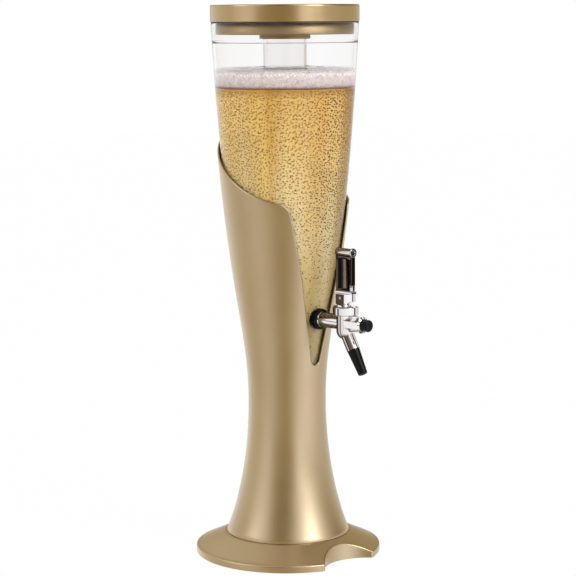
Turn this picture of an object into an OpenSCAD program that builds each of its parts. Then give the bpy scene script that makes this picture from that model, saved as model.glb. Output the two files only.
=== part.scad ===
// Beer tower dispenser: a clear tapered tank with a tap, standing in a flared column.
// Millimetres, Z up, origin under the middle of the base on the table. The tap points along -Y.

/* [Overall] */
// Height of the tower from the table to the top of the lid
tower_h = 570; // [540:5:620]

/* [Base] */
// Radius of the base plate
base_r = 96.5; // [92:0.5:105]
// Height of the base plate's outer edge
base_rim_h = 8.7; // [7:0.1:11]
// Height of the deck that the column stands on
deck_z = 22.5; // [20:0.5:28]
// Wall of the moulded base
base_wall = 2.5; // [2:0.1:3.5]
// Rounding of the base plate's top edge
base_edge_r = 2; // [1:0.1:3]
// Radius of the glass notch under the tap
notch_r = 44; // [36:0.5:50]
// Width of the cone left between the glass notch and the column
notch_clear = 8.5; // [6:0.5:12]
// Rounding of the two corners of the glass notch
notch_corner_r = 2.5; // [1.5:0.1:4]
// Distance from the base's edge to the middle of the rubber ring
ring_inset = 10; // [9:0.5:12]
// Width of the rubber ring
ring_w = 6; // [5:0.1:7]
// Height of the rubber ring below the base
ring_h = 1.2; // [0.8:0.1:2]
// Thickness of the ribs under the base
rib_t = 2; // [1.5:0.1:3]
// Number of ribs under the base
rib_count = 12; // [8:2:16]

/* [Column] */
// Outer radius of the column's foot
foot_r = 64.5; // [60:0.5:68]
// Outer radius of the column's waist
waist_r = 40.4; // [38:0.2:44]
// Height of the waist above the table
waist_z = 162; // [150:1:172]
// Radius that the column's flare would have at the tank's mouth
mouth_r = 78.9; // [75:0.1:82]
// Wall of the column
shell_wall = 2.2; // [1.8:0.1:2.8]
// Share of the upper flare that rises straight out of the waist
flare_low = 0.22; // [0.18:0.01:0.26]
// Share of the upper flare that leads into the mouth
flare_high = 0.716; // [0.68:0.004:0.74]
// Outward lean of the flare at the mouth
mouth_draft = 0.05; // [0.03:0.005:0.07]
// Share of the lower flare that leads out of the foot
foot_pull = 0.22; // [0.18:0.01:0.26]
// Inward lean of the lower flare at the foot
foot_draft = 0.42; // [0.36:0.01:0.46]
// Share of the lower flare that leads straight into the waist
waist_pull = 0.42; // [0.36:0.01:0.48]

/* [Column opening] */
// Height of the lowest point of the front opening
opening_tip_z = 203; // [198:0.5:208]
// Rounding of the lowest point of the front opening
opening_tip_r = 6.3; // [5:0.1:8]
// Lean of each straight side of the front opening
opening_lean = 12.9; // [11:0.1:14]
// Rounding where the front opening meets the rim
opening_corner_r = 15; // [10:0.5:18]
// Height of the rim at the front
rim_front_z = 370; // [362:1:376]
// Height that the rim's curve bends toward at mid depth
rim_bend_z = 384; // [380:1:390]
// Height of the rim at the back
rim_back_z = 442; // [430:1:450]

/* [Column inside] */
// Height of the shelf that carries the tank
shelf_z = 184; // [180:0.5:190]
// Thickness of the shelf
shelf_t = 3; // [2.5:0.1:4]
// Radius of the hole in the shelf
shelf_hole_r = 20; // [15:0.5:24]
// Depth of the ribs under the shelf
shelf_rib_h = 12; // [8:0.5:16]
// Number of ribs under the shelf
shelf_rib_count = 6; // [4:1:8]
// Height of the screw posts in the column's foot
post_h = 22; // [18:0.5:26]
// Radius of the screw posts
post_r = 4.5; // [4:0.1:5.5]
// Distance from the foot's outer edge to the screws
post_inset = 16.5; // [15:0.5:19]
// Height of the locating ring on the deck
spigot_h = 4; // [3:0.2:6]

/* [Screws] */
// Radius of the base screws
screw_r = 2; // [1.5:0.1:2.5]
// Length of the base screws under the head
screw_l = 16; // [12:0.5:18]
// Radius of the screw heads
screw_head_r = 4; // [3.5:0.1:4.4]
// Height of the screw heads
screw_head_h = 2.8; // [2:0.1:3.5]

/* [Tank] */
// Clearance between the tank and the column
tank_gap = 1.1; // [0.8:0.1:1.5]
// Wall of the tank
tank_wall = 3.2; // [2.6:0.1:3.6]
// Thickness of the tank's floor
tank_floor_t = 4; // [3:0.1:6]
// Wall of the stepped rim that the lid drops into
tank_rim_wall = 2; // [1.6:0.1:2.4]
// Height of the stepped rim
tank_rim_h = 20; // [18:0.5:26]
// Thickness of the pad under the tank
pad_t = 1.5; // [1:0.1:3]
// Radius of the flat round boss for the tap
boss_r = 13; // [12:0.2:14]
// Thickness of the boss
boss_t = 8; // [7.5:0.1:10]

/* [Tap] */
// Height of the tap's axis above the table
tap_z = 251.5; // [248:0.5:256]
// Distance from the tank's boss to the middle of the tap's body
tap_reach = 39.4; // [37:0.2:42]
// Radius of the shank
shank_r = 7.7; // [7.5:0.1:8]
// Radius of the shank's bore
shank_bore_r = 3.6; // [3:0.1:4]
// Radius of the round black flange
flange_r = 10.7; // [10.2:0.1:11.5]
// Thickness of the flange
flange_t = 6.8; // [5:0.1:8]
// Thickness of the gasket inside the tank
gasket_t = 2; // [1.5:0.1:3]
// Width of the shank's nut across its flats
nut_af = 21; // [20:0.5:23]
// Thickness of the shank's nut
nut_t = 5; // [4:0.2:7]
// Radius of the upright part of the body
body_r = 9.4; // [9:0.1:10]
// Width of the eight-sided barrel across its flats
barrel_af = 16.4; // [16:0.1:17.4]
// Distance from the body's middle to the front of the barrel
barrel_l = 25.2; // [22:0.2:27]
// Radius of the spout
spout_r = 6.7; // [6.5:0.1:7.2]
// Lean of the spout toward the front
spout_lean = 30; // [26:1:34]
// Length of the spout along its axis
spout_l = 30.7; // [28:0.1:33]
// Length of the black nozzle that shows
nozzle_l = 26.8; // [24:0.1:30]
// Radius of the nozzle's tip
nozzle_tip_r = 4.8; // [4.4:0.1:5.2]
// Outer radius of the bonnet nut
bonnet_r = 13; // [12.4:0.1:13.6]
// Height of the bonnet nut
bonnet_h = 9.2; // [9:0.1:10.5]

/* [Lever] */
// Radius of the lever's ball
ball_r = 6; // [5.6:0.1:6.2]
// Height of the lever's ball above the tap's axis
ball_z = 14; // [13.6:0.1:14.4]
// Radius of the lever's neck
neck_r = 10; // [9:0.2:11]
// Width across the neck's two flats
neck_flats = 16.8; // [15:0.2:18]
// Height of the top of the neck above the tap's axis
neck_top_z = 30; // [29:0.5:33]
// Furthest forward tilt of the lever, for pouring
pour_tilt = 20; // [15:1:24]
// Furthest backward tilt of the lever, for foam
foam_tilt = 8; // [5:1:10]
// Length of the lever's blade
blade_l = 22.2; // [20:0.2:24]
// Thickness of the lever's blade
blade_t = 5.9; // [5:0.1:6.5]
// Height of the cross bar above the tap's axis
bar_z = 71.7; // [68:0.5:80]
// Radius of the cross bar
bar_r = 4; // [3.5:0.1:4.6]
// Depth of the panel sunk into each side of the blade
panel_depth = 0.9; // [0.5:0.1:1.2]

/* [Piston] */
// Radius of the piston
piston_r = 6.1; // [6:0.05:6.2]
// Distance that the piston's end stands out of the barrel
piston_out = 8; // [6.6:0.2:10]
// Length of the piston behind the lever's arm
piston_rear_l = 8.6; // [8:0.2:9.5]
// Running clearance round the piston and the ball
running_gap = 0.05; // [0.03:0.01:0.1]

/* [Lid] */
// Distance that the lid's band stands out past the tank's rim
lid_over = 0.6; // [0.2:0.1:1.9]
// Height of the lid's band
lid_band_h = 17; // [14:0.5:20]
// Gap between the lid's skirt and the inside of the tank's rim
skirt_play = 2.9; // [2:0.1:5]
// Depth of the lid's skirt below the band
skirt_h = 13; // [10:0.5:16]
// Wall of the lid
lid_wall = 2.4; // [2:0.1:3]
// Rounding of the lid's edges
lid_edge_r = 1.6; // [1:0.1:2]
// Thickness of the rubber ring under the band
seal_t = 1; // [0.8:0.1:1.5]
// Outer radius of the hub under the lid
hub_r = 26; // [25:0.2:28]
// Distance that the hub reaches below the skirt
hub_drop = 4.5; // [3:0.5:6]

/* [Ice tube] */
// Outer radius of the ice tube
tube_r = 22; // [20:0.2:22.4]
// Wall of the ice tube
tube_wall = 2; // [1.5:0.1:2.5]
// Height of the ice tube's closed end above the table
tube_bottom_z = 285; // [280:1:330]

/* [Hidden] */
$fn = 96;

GOLD = [0.68, 0.57, 0.40];
CHROME = [0.78, 0.78, 0.78];
DARK_CHROME = [0.36, 0.34, 0.32];
BLACK = [0.09, 0.09, 0.10];
RUBBER = [0.16, 0.16, 0.17];
CLEAR = [0.86, 0.88, 0.90, 0.45];

// Small gaps that every fit shares
seat_gap = 0.3; // between pieces that part from each other
glue_gap = 0.1; // round pieces that are glued, pressed or screwed in
cut = 1; // extra depth of a cut past the face that it opens

// Heights along the tower
mouth_z = tower_h - lid_band_h;
tank_top_z = mouth_z - seal_t;
ledge_z = tank_top_z - tank_rim_h;
tank_z = shelf_z + pad_t;
base_bottom_z = ring_h;

// Flare of the column, as two cubic curves of [radius, height] that meet at the waist
upper_h = mouth_z - waist_z;
lower_h = waist_z - deck_z;
upper_flare = [
    [waist_r, waist_z],
    [waist_r, waist_z + flare_low * upper_h],
    [mouth_r - mouth_draft * flare_high * upper_h, mouth_z - flare_high * upper_h],
    [mouth_r, mouth_z]
];
lower_flare = [
    [foot_r, deck_z],
    [foot_r - foot_draft * foot_pull * lower_h, deck_z + foot_pull * lower_h],
    [waist_r, waist_z - waist_pull * lower_h],
    [waist_r, waist_z]
];
lower_steps = 10;
upper_steps = 18;

function cubic(p, t) =
    pow(1 - t, 3) * p[0] + 3 * t * pow(1 - t, 2) * p[1]
    + 3 * t * t * (1 - t) * p[2] + pow(t, 3) * p[3];

// Parameter at which a rising cubic reaches the height z, by halving the range
function cubic_at(p, z, low = 0, high = 1, turns = 26) =
    let (mid = (low + high) / 2)
    turns == 0 ? mid
    : cubic(p, mid)[1] < z ? cubic_at(p, z, mid, high, turns - 1)
    : cubic_at(p, z, low, mid, turns - 1);

// Outer radius of the column's flare at the height z
function flare_r(z) =
    z > waist_z ? cubic(upper_flare, cubic_at(upper_flare, z))[0]
    : cubic(lower_flare, cubic_at(lower_flare, z))[0];

// Points of the upper flare between two heights, moved inward
function upper_line(z_from, z_to, inward, steps) =
    let (t_from = cubic_at(upper_flare, z_from))
    let (t_to = cubic_at(upper_flare, z_to))
    [for (i = [0 : steps])
        cubic(upper_flare, t_from + (t_to - t_from) * i / steps) - [inward, 0]];

function reversed(list) = [for (i = [len(list) - 1 : -1 : 0]) list[i]];

// Points on an arc round a centre, from one angle to another
function arc(centre, r, a_from, a_to, steps) =
    [for (i = [0 : steps])
        let (a = a_from + (a_to - a_from) * i / steps)
        centre + r * [cos(a), sin(a)]];

// Angle at the axis between a circle's centre line and the point where two circles meet
function meet_angle(r_axis, r_circle, centre_dist) =
    acos((r_axis * r_axis + centre_dist * centre_dist - r_circle * r_circle)
        / (2 * r_axis * centre_dist));

// Turns local +X to the front of the tower, at the height of the tap's axis
module tap_frame() {
    translate([0, 0, tap_z]) rotate([0, 0, -90]) children();
}

// A turned piece whose outline is [radius, distance along local +X]
module turned_x(outline) {
    rotate([0, 90, 0]) rotate_extrude() polygon(outline);
}

// ---------------------------------------------------------------- base

notch_in_r = foot_r + notch_clear;
notch_y = notch_in_r + notch_r;
ring_r = base_r - ring_inset;
ring_tongue_w = ring_w / 3;
ring_tongue_h = 2.6;
ring_end_angle = meet_angle(ring_r, notch_r + base_wall, notch_y) + 4;
cone_lip = 0.8; // the cone's top stands this far outside the column's foot
cone_slope = (deck_z - base_rim_h) / (base_r - base_edge_r - foot_r - cone_lip);
post_pos_r = foot_r - post_inset;
post_angles = [45, 135, 225, 315];

module glass_notch(r) {
    translate([0, -notch_y, -cut]) cylinder(h = deck_z + 2 * cut, r = r);
}

// The sharp corner between the base's edge and the glass notch, outside its rounding.
// The rounding's circle is a little too large, so that it crosses both walls at an angle.
module notch_corner() {
    crossing = 0.05;
    axis_dist = base_r - notch_corner_r;
    turn = meet_angle(axis_dist, notch_r + notch_corner_r, notch_y);
    centre = axis_dist * [sin(turn), -cos(turn)];
    on_edge = base_r * [sin(turn), -cos(turn)];
    to_notch = [0, -notch_y] - centre;
    on_notch = centre + to_notch / norm(to_notch) * notch_corner_r;
    outside = on_edge + on_notch - centre;
    translate([0, 0, -cut]) linear_extrude(height = deck_z) difference() {
        polygon([centre, on_edge + (on_edge - centre), outside + (outside - centre),
            on_notch + (on_notch - centre)]);
        translate(centre) circle(r = notch_corner_r + crossing);
    }
}

module base_plate() {
    top_round = arc([base_r - base_edge_r, base_rim_h - base_edge_r], base_edge_r, 0, 70, 5);
    under_r = base_r - base_wall;
    under_cone_z = base_rim_h - base_wall;
    spigot_r = flare_r(deck_z + spigot_h) - shell_wall - seat_gap;
    color(GOLD) difference() {
        rotate_extrude() polygon(concat(
            [[0, base_bottom_z], [base_r - cut, base_bottom_z], [base_r, base_bottom_z + cut]],
            top_round,
            [[foot_r + cone_lip, deck_z], [spigot_r, deck_z], [spigot_r, deck_z + spigot_h],
                [spigot_r - base_wall, deck_z + spigot_h], [spigot_r - base_wall, deck_z],
                [0, deck_z]]
        ));
        glass_notch(notch_r);
        for (side = [0, 1]) mirror([side, 0, 0]) notch_corner();
        difference() {
            rotate_extrude() polygon([
                [0, -cut], [under_r, -cut], [under_r, under_cone_z],
                [foot_r, deck_z - base_wall], [0, deck_z - base_wall]
            ]);
            glass_notch(notch_r + base_wall);
            ring_land();
            base_ribs();
            screw_pads();
        }
        ring_groove();
        for (a = post_angles) rotate([0, 0, a]) translate([post_pos_r, 0, -cut]) {
            cylinder(h = deck_z + 2 * cut, r = screw_r + glue_gap);
            cylinder(h = deck_z - 2 * base_wall + cut, r = screw_head_r + 1);
        }
    }
}

// Land round the underside that holds the rubber ring
module ring_land() {
    land_w = ring_w + 2;
    translate([0, 0, base_bottom_z]) difference() {
        cylinder(h = deck_z, r = ring_r + land_w / 2);
        translate([0, 0, -cut]) cylinder(h = deck_z + 2 * cut, r = ring_r - land_w / 2);
    }
}

module ring_groove() {
    half_w = ring_tongue_w / 2 + glue_gap;
    difference() {
        translate([0, 0, base_bottom_z - cut])
            cylinder(h = ring_tongue_h + glue_gap + cut, r = ring_r + half_w);
        translate([0, 0, base_bottom_z - 2 * cut])
            cylinder(h = ring_tongue_h + 4 * cut, r = ring_r - half_w);
        ring_gap_wedge();
    }
}

// Sector at the front that the rubber ring and its groove leave free
module ring_gap_wedge() {
    reach = 2 * base_r;
    translate([0, 0, -cut]) linear_extrude(height = deck_z) polygon([
        [0, 0],
        reach * [-sin(ring_end_angle), -cos(ring_end_angle)],
        reach * [sin(ring_end_angle), -cos(ring_end_angle)]
    ]);
}

module base_ribs() {
    rib_lift = 1.5;
    for (i = [0 : rib_count - 1]) rotate([0, 0, (i + 0.5) * 360 / rib_count])
        translate([foot_r / 4, -rib_t / 2, base_bottom_z + rib_lift])
            cube([base_r, rib_t, deck_z]);
    translate([0, 0, base_bottom_z + rib_lift]) difference() {
        cylinder(h = deck_z, r = foot_r / 4 + rib_t);
        translate([0, 0, -cut]) cylinder(h = deck_z + 2 * cut, r = foot_r / 4);
    }
}

// Thickened discs under the deck that the screw heads pull on
module screw_pads() {
    for (a = post_angles) rotate([0, 0, a]) translate([post_pos_r, 0, deck_z - 2 * base_wall])
        cylinder(h = base_wall + cut, r = screw_head_r + 1.5);
}

module foot_ring() {
    color(RUBBER) difference() {
        rotate_extrude() polygon([
            [ring_r - ring_w / 2, 0],
            [ring_r + ring_w / 2, 0],
            [ring_r + ring_w / 2, ring_h],
            [ring_r + ring_tongue_w / 2, ring_h],
            [ring_r + ring_tongue_w / 2, ring_h + ring_tongue_h],
            [ring_r - ring_tongue_w / 2, ring_h + ring_tongue_h],
            [ring_r - ring_tongue_w / 2, ring_h],
            [ring_r - ring_w / 2, ring_h]
        ]);
        ring_gap_wedge();
    }
}

module base_screws() {
    socket_depth = screw_head_h / 2;
    color(CHROME) for (a = post_angles) rotate([0, 0, a])
        translate([post_pos_r, 0, deck_z - 2 * base_wall - glue_gap]) difference() {
            union() {
                cylinder(h = screw_l, r = screw_r);
                translate([0, 0, -screw_head_h]) cylinder(h = screw_head_h, r = screw_head_r);
            }
            translate([0, 0, -screw_head_h - cut])
                cylinder(h = socket_depth + cut, r = screw_r * 0.75, $fn = 6);
        }
}

// ---------------------------------------------------------------- column

rim_front_u = flare_r(rim_front_z) * cos(40);
rim_back_u = -flare_r(rim_back_z);
rim_mid_u = (rim_front_u + rim_back_u) / 2;
rim_steps = 14;
rim_span = 1.3 * mouth_r;

// Rim seen from the side, as [distance toward the front, height]
rim_line = [for (i = [0 : rim_steps])
    let (t = i / rim_steps)
    pow(1 - t, 2) * [rim_front_u, rim_front_z] + 2 * t * (1 - t) * [rim_mid_u, rim_bend_z]
    + t * t * [rim_back_u, rim_back_z]];

function wall_line(inward) = concat(
    [for (i = [0 : lower_steps - 1]) cubic(lower_flare, i / lower_steps) - [inward, 0]],
    upper_line(waist_z, rim_back_z + 4, inward, upper_steps)
);

module column_shell() {
    color(GOLD) difference() {
        union() {
            rotate_extrude() polygon(concat(wall_line(0), reversed(wall_line(shell_wall))));
            column_shelf();
            screw_posts();
        }
        rim_sweep();
        front_opening();
        for (a = post_angles) rotate([0, 0, a]) translate([post_pos_r, 0, deck_z - cut])
            cylinder(h = screw_l - 2 * base_wall + 2 * cut, r = screw_r + glue_gap);
    }
}

// Everything above the rim's curve
module rim_sweep() {
    far_z = tower_h;
    rotate([0, 0, -90]) rotate([90, 0, 0])
        linear_extrude(height = 2 * rim_span, center = true) polygon(concat(
            [[rim_span, far_z], [rim_span, rim_front_z]],
            rim_line,
            [[-rim_span, rim_back_z], [-rim_span, far_z]]
        ));
}

// Height of the rim on the column's outside, at the distance w from the middle plane
function rim_on_shell(w) =
    let (u = sqrt(pow(flare_r(rim_front_z), 2) - w * w))
    let (t = (rim_front_u - u) / (2 * (rim_front_u - rim_mid_u)))
    rim_front_z + 2 * t * (rim_bend_z - rim_front_z);

// Long V-shaped opening, seen from the front, with a rounded tip and rounded shoulders
module front_opening() {
    tip = [0, opening_tip_z + opening_tip_r];
    side_dir = [sin(opening_lean), cos(opening_lean)];
    side_out = [cos(opening_lean), -sin(opening_lean)];
    side_start = tip + opening_tip_r * side_out;
    shoulder_w = flare_r(rim_front_z) * sin(52);
    rise = rim_on_shell(shoulder_w + 0.5) - rim_on_shell(shoulder_w - 0.5);
    rim_lean = atan(rise);
    rim_point = [shoulder_w, rim_on_shell(shoulder_w)];
    rim_down = [sin(rim_lean), -cos(rim_lean)];
    // Centre of the rounding: its own radius outside the side and below the rim
    side_gap = side_start * side_out + opening_corner_r;
    rim_gap = rim_point * rim_down + opening_corner_r;
    spread = side_out[0] * rim_down[1] - side_out[1] * rim_down[0];
    corner = [side_gap * rim_down[1] - side_out[1] * rim_gap,
        side_out[0] * rim_gap - side_gap * rim_down[0]] / spread;
    right = concat(
        arc(tip, opening_tip_r, -90, -opening_lean, 6),
        arc(corner, opening_corner_r, 180 - opening_lean, 90 + rim_lean, 7),
        [corner + opening_corner_r * [-sin(rim_lean), cos(rim_lean)] + [40, 60]],
        [[rim_span, tower_h]]
    );
    left = [for (i = [len(right) - 1 : -1 : 1]) [-right[i][0], right[i][1]]];
    rotate([90, 0, 0]) linear_extrude(height = rim_span) polygon(concat(right, left));
}

module column_shelf() {
    difference() {
        union() {
            translate([0, 0, shelf_z - shelf_t])
                cylinder(h = shelf_t, r = flare_r(shelf_z) - shell_wall / 2);
            for (i = [0 : shelf_rib_count - 1]) rotate([0, 0, i * 360 / shelf_rib_count])
                shelf_rib();
        }
        translate([0, 0, shelf_z - shelf_t - shelf_rib_h - cut])
            cylinder(h = shelf_t + shelf_rib_h + 2 * cut, r = shelf_hole_r);
    }
}

module shelf_rib() {
    wall_r = waist_r - shell_wall / 2;
    under = shelf_z - shelf_t;
    rotate([90, 0, 0]) linear_extrude(height = rib_t, center = true) polygon([
        [shelf_hole_r, under - 2],
        [wall_r, under - shelf_rib_h],
        [wall_r, under + shelf_t / 2],
        [shelf_hole_r, under + shelf_t / 2]
    ]);
}

// Posts for the base screws, each tied to the column's wall by a rib
module screw_posts() {
    tie_z = spigot_h + seat_gap; // foot of the ties, clear above the base plate's spigot
    intersection() {
        for (a = post_angles) rotate([0, 0, a]) {
            translate([post_pos_r, 0, deck_z]) cylinder(h = post_h, r = post_r);
            translate([post_pos_r, -rib_t / 2, deck_z + tie_z])
                cube([post_inset, rib_t, post_h - tie_z]);
        }
        rotate_extrude() polygon(concat(
            [[0, waist_z], [0, deck_z]],
            [for (i = [0 : lower_steps]) cubic(lower_flare, i / lower_steps)
                - [shell_wall / 2, 0]]
        ));
    }
}

module tank_pad() {
    pad_w = 10;
    pad_r = flare_r(shelf_z) - shell_wall - 3;
    color(RUBBER) translate([0, 0, shelf_z]) difference() {
        cylinder(h = pad_t, r = pad_r);
        translate([0, 0, -cut]) cylinder(h = pad_t + 2 * cut, r = pad_r - pad_w);
    }
}

// ---------------------------------------------------------------- tank

tank_inset = shell_wall + tank_gap;
boss_u = flare_r(tap_z) - tank_inset + 0.2; // outer face of the tap's boss
boss_in_u = boss_u - boss_t;
tank_floor_r = flare_r(tank_z) - tank_inset;

module tank() {
    foot_round = 2;
    outside = upper_line(tank_z + foot_round, tank_top_z, tank_inset, 22);
    inside = upper_line(tank_z + tank_floor_t, ledge_z, tank_inset + tank_wall, 20);
    rim_r = flare_r(tank_top_z) - tank_inset - tank_rim_wall;
    ledge_r = flare_r(ledge_z) - tank_inset - tank_rim_wall;
    color(CLEAR) difference() {
        union() {
            rotate_extrude() polygon(concat(
                [[0, tank_z], [tank_floor_r - foot_round, tank_z]],
                outside,
                [[rim_r, tank_top_z], [ledge_r, ledge_z]],
                reversed(inside),
                [[0, tank_z + tank_floor_t]]
            ));
            tap_frame() turned_x([[0, boss_in_u], [boss_r, boss_in_u], [boss_r, boss_u],
                [0, boss_u]]);
        }
        tap_frame() turned_x([[0, boss_u], [boss_r + 1, boss_u], [boss_r + 1, boss_u + boss_t],
            [0, boss_u + boss_t]]);
        tap_frame() turned_x([[0, boss_in_u - cut], [shank_r + glue_gap, boss_in_u - cut],
            [shank_r + glue_gap, boss_u + cut], [0, boss_u + cut]]);
    }
}

// ---------------------------------------------------------------- tap

shoulder_r = shank_r + 0.8;
shoulder_t = 2;
shank_front_u = boss_u + flange_t;
nut_u = boss_in_u - gasket_t - nut_t;
shank_end_u = nut_u - 3;
body_u = boss_u + tap_reach; // middle of the tap's body
body_socket_u = body_u - 5.6; // front end of the shank, inside the body
bore_r = piston_r + running_gap;
chamber_u = body_u - 15.4; // rear end of the piston's chamber, inside the shank

module tap_flange() {
    hole_r = shank_r + glue_gap;
    step_r = shoulder_r + glue_gap;
    dome_r = flange_r - step_r - 0.2;
    color(BLACK) tap_frame() turned_x(concat(
        [[hole_r, boss_u], [flange_r, boss_u]],
        arc([flange_r - dome_r, shank_front_u - dome_r], dome_r, 0, 90, 5),
        [[step_r, shank_front_u], [step_r, shank_front_u - shoulder_t],
            [hole_r, shank_front_u - shoulder_t]]
    ));
}

module inner_gasket() {
    gasket_r = nut_af / 2;
    hole_r = shank_r + glue_gap;
    color(RUBBER) tap_frame() turned_x([[hole_r, boss_in_u - gasket_t],
        [gasket_r, boss_in_u - gasket_t], [gasket_r, boss_in_u], [hole_r, boss_in_u]]);
}

module shank_nut() {
    corner_r = nut_af / 2 / cos(30);
    color(CHROME) tap_frame() translate([nut_u, 0, 0]) rotate([0, 90, 0]) difference() {
        cylinder(h = nut_t, r = corner_r, $fn = 6);
        translate([0, 0, -cut]) cylinder(h = nut_t + 2 * cut, r = shank_r + glue_gap);
    }
}

module tap_shank() {
    color(CHROME) tap_frame() turned_x([
        [shank_bore_r, shank_end_u],
        [shank_r, shank_end_u],
        [shank_r, shank_front_u - shoulder_t],
        [shoulder_r, shank_front_u - shoulder_t],
        [shoulder_r, shank_front_u],
        [shank_r, shank_front_u + 1.5],
        [shank_r, body_socket_u],
        [bore_r, body_socket_u],
        [bore_r, chamber_u],
        [shank_bore_r, chamber_u]
    ]);
}

body_bottom_z = -8;
bonnet_z = barrel_af / 2 + glue_gap; // underside of the bonnet nut, just above the barrel
ring_seat_z = 8.3;
body_neck_z = 13.2;
body_neck_r = body_r - 0.6;
ring_out_r = body_neck_r - 1.5;
arm_hole_r = 5.8;
barrel_u = body_u + barrel_l;
spout_start_u = body_u - 4.3;
spout_bore_r = 4.3;
nozzle_plug_l = 9;
nozzle_plug_r = 4.9;

// The spout's own frame: +Z runs down its axis, starting inside the body
module spout_frame() {
    tap_frame() translate([spout_start_u, 0, 0]) rotate([0, 180 - spout_lean, 0]) children();
}

module tap_body() {
    barrel_corner_r = barrel_af / 2 / cos(22.5);
    chamfer = 1.8;
    color(CHROME) difference() {
        union() {
            tap_frame() translate([body_u, 0, 0]) {
                translate([0, 0, body_bottom_z]) cylinder(h = bonnet_z - body_bottom_z, r = body_r);
                translate([0, 0, body_bottom_z]) sphere(r = body_r - 0.05);
                translate([0, 0, bonnet_z - cut])
                    cylinder(h = body_neck_z - bonnet_z + cut, r = body_neck_r);
            }
            intersection() {
                tap_frame() translate([body_u, 0, 0]) rotate([0, 90, 0]) rotate([0, 0, 22.5])
                    cylinder(h = barrel_l, r = barrel_corner_r, $fn = 8);
                tap_frame() turned_x([
                    [0, body_u], [barrel_corner_r + cut, body_u],
                    [barrel_corner_r + cut, barrel_u - chamfer - cut],
                    [barrel_af / 2 - chamfer, barrel_u], [0, barrel_u]
                ]);
            }
            spout_frame() translate([0, 0, 4]) cylinder(h = spout_l - 4, r = spout_r);
        }
        tap_frame() {
            turned_x([[0, shank_front_u], [shank_r + glue_gap, shank_front_u],
                [shank_r + glue_gap, body_socket_u], [0, body_socket_u]]);
            turned_x([[0, body_socket_u - cut], [bore_r, body_socket_u - cut],
                [bore_r, barrel_u + cut], [0, barrel_u + cut]]);
            translate([body_u, 0, 0]) {
                cylinder(h = body_neck_z, r = arm_hole_r);
                translate([0, 0, ring_seat_z]) cylinder(h = body_neck_z, r = ring_out_r + glue_gap);
            }
        }
        spout_frame() cylinder(h = spout_l + cut, r = spout_bore_r);
        spout_frame() translate([0, 0, spout_l - nozzle_plug_l - glue_gap])
            cylinder(h = nozzle_plug_l + 2 * cut, r = nozzle_plug_r + glue_gap);
    }
}

module bonnet_nut() {
    chamfer = 1.2;
    top_z = bonnet_z + bonnet_h;
    thread_r = body_neck_r + glue_gap;
    seat_r = ball_r + running_gap;
    hole_r = 5.3;
    hole_z = ball_z + sqrt(seat_r * seat_r - hole_r * hole_r);
    inner_z = body_neck_z + 0.5;
    start_a = asin((inner_z - ball_z) / seat_r);
    end_a = asin((hole_z - ball_z) / seat_r);
    color(CHROME) tap_frame() translate([body_u, 0, 0]) rotate_extrude() polygon(concat(
        [[thread_r, bonnet_z], [bonnet_r - chamfer / 2, bonnet_z],
            [bonnet_r, bonnet_z + chamfer / 2], [bonnet_r, top_z - chamfer],
            [bonnet_r - chamfer, top_z], [hole_r, top_z]],
        arc([0, ball_z], seat_r, end_a, start_a, 6),
        [[thread_r, inner_z]]
    ));
}

module ball_ring() {
    seat_r = ball_r + running_gap;
    hole_r = 5.3;
    start_a = asin(-sqrt(seat_r * seat_r - hole_r * hole_r) / seat_r);
    end_a = asin((body_neck_z + glue_gap - ball_z) / seat_r);
    color("ivory") tap_frame() translate([body_u, 0, 0]) rotate_extrude() polygon(concat(
        [[hole_r, ring_seat_z], [ring_out_r, ring_seat_z],
            [ring_out_r, body_neck_z + glue_gap]],
        reversed(arc([0, ball_z], seat_r, start_a, end_a, 6))
    ));
}

module spout_nozzle() {
    groove_z = spout_l - nozzle_plug_l / 2;
    nozzle_bore_r = 3.1;
    nozzle_top_r = spout_r - 0.3;
    color(BLACK) spout_frame() rotate_extrude() polygon([
        [nozzle_bore_r, spout_l - nozzle_plug_l],
        [nozzle_plug_r, spout_l - nozzle_plug_l],
        [nozzle_plug_r, groove_z - nozzle_ring_r],
        [nozzle_plug_r - nozzle_ring_r, groove_z - nozzle_ring_r],
        [nozzle_plug_r - nozzle_ring_r, groove_z + nozzle_ring_r],
        [nozzle_plug_r, groove_z + nozzle_ring_r],
        [nozzle_plug_r, spout_l],
        [nozzle_top_r, spout_l],
        [nozzle_tip_r, spout_l + nozzle_l - 0.6],
        [nozzle_tip_r - 0.6, spout_l + nozzle_l],
        [nozzle_bore_r, spout_l + nozzle_l]
    ]);
}

nozzle_ring_r = 0.8;

module nozzle_ring() {
    groove_z = spout_l - nozzle_plug_l / 2;
    ring_w_r = nozzle_ring_r / 2;
    color(RUBBER) spout_frame() translate([0, 0, groove_z]) rotate_extrude()
        translate([nozzle_plug_r - ring_w_r, 0]) circle(r = ring_w_r, $fn = 24);
}

// ---------------------------------------------------------------- lever

bonnet_top_z = bonnet_z + bonnet_h;
neck_ridge_z = bonnet_top_z + 0.9; // lowest line of the neck, right above the ball
stem_r = 3;
arm_r = 1.8;
arm_tip_r = 2.1;
arm_l = 9.4; // from the ball's middle to the middle of the arm's tip
tilt_relief = 2; // degrees by which the neck's underside is cut past each tilt
slot_w = blade_t - 1;
slot_l = 13;
slot_h = 8;
pin_z = neck_top_z - 4;
pin_r = 1.5;
foot_plate_t = 2.4;
bar_disc_r = bar_r + 0.75;
bar_disc_t = 1.6;

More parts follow.
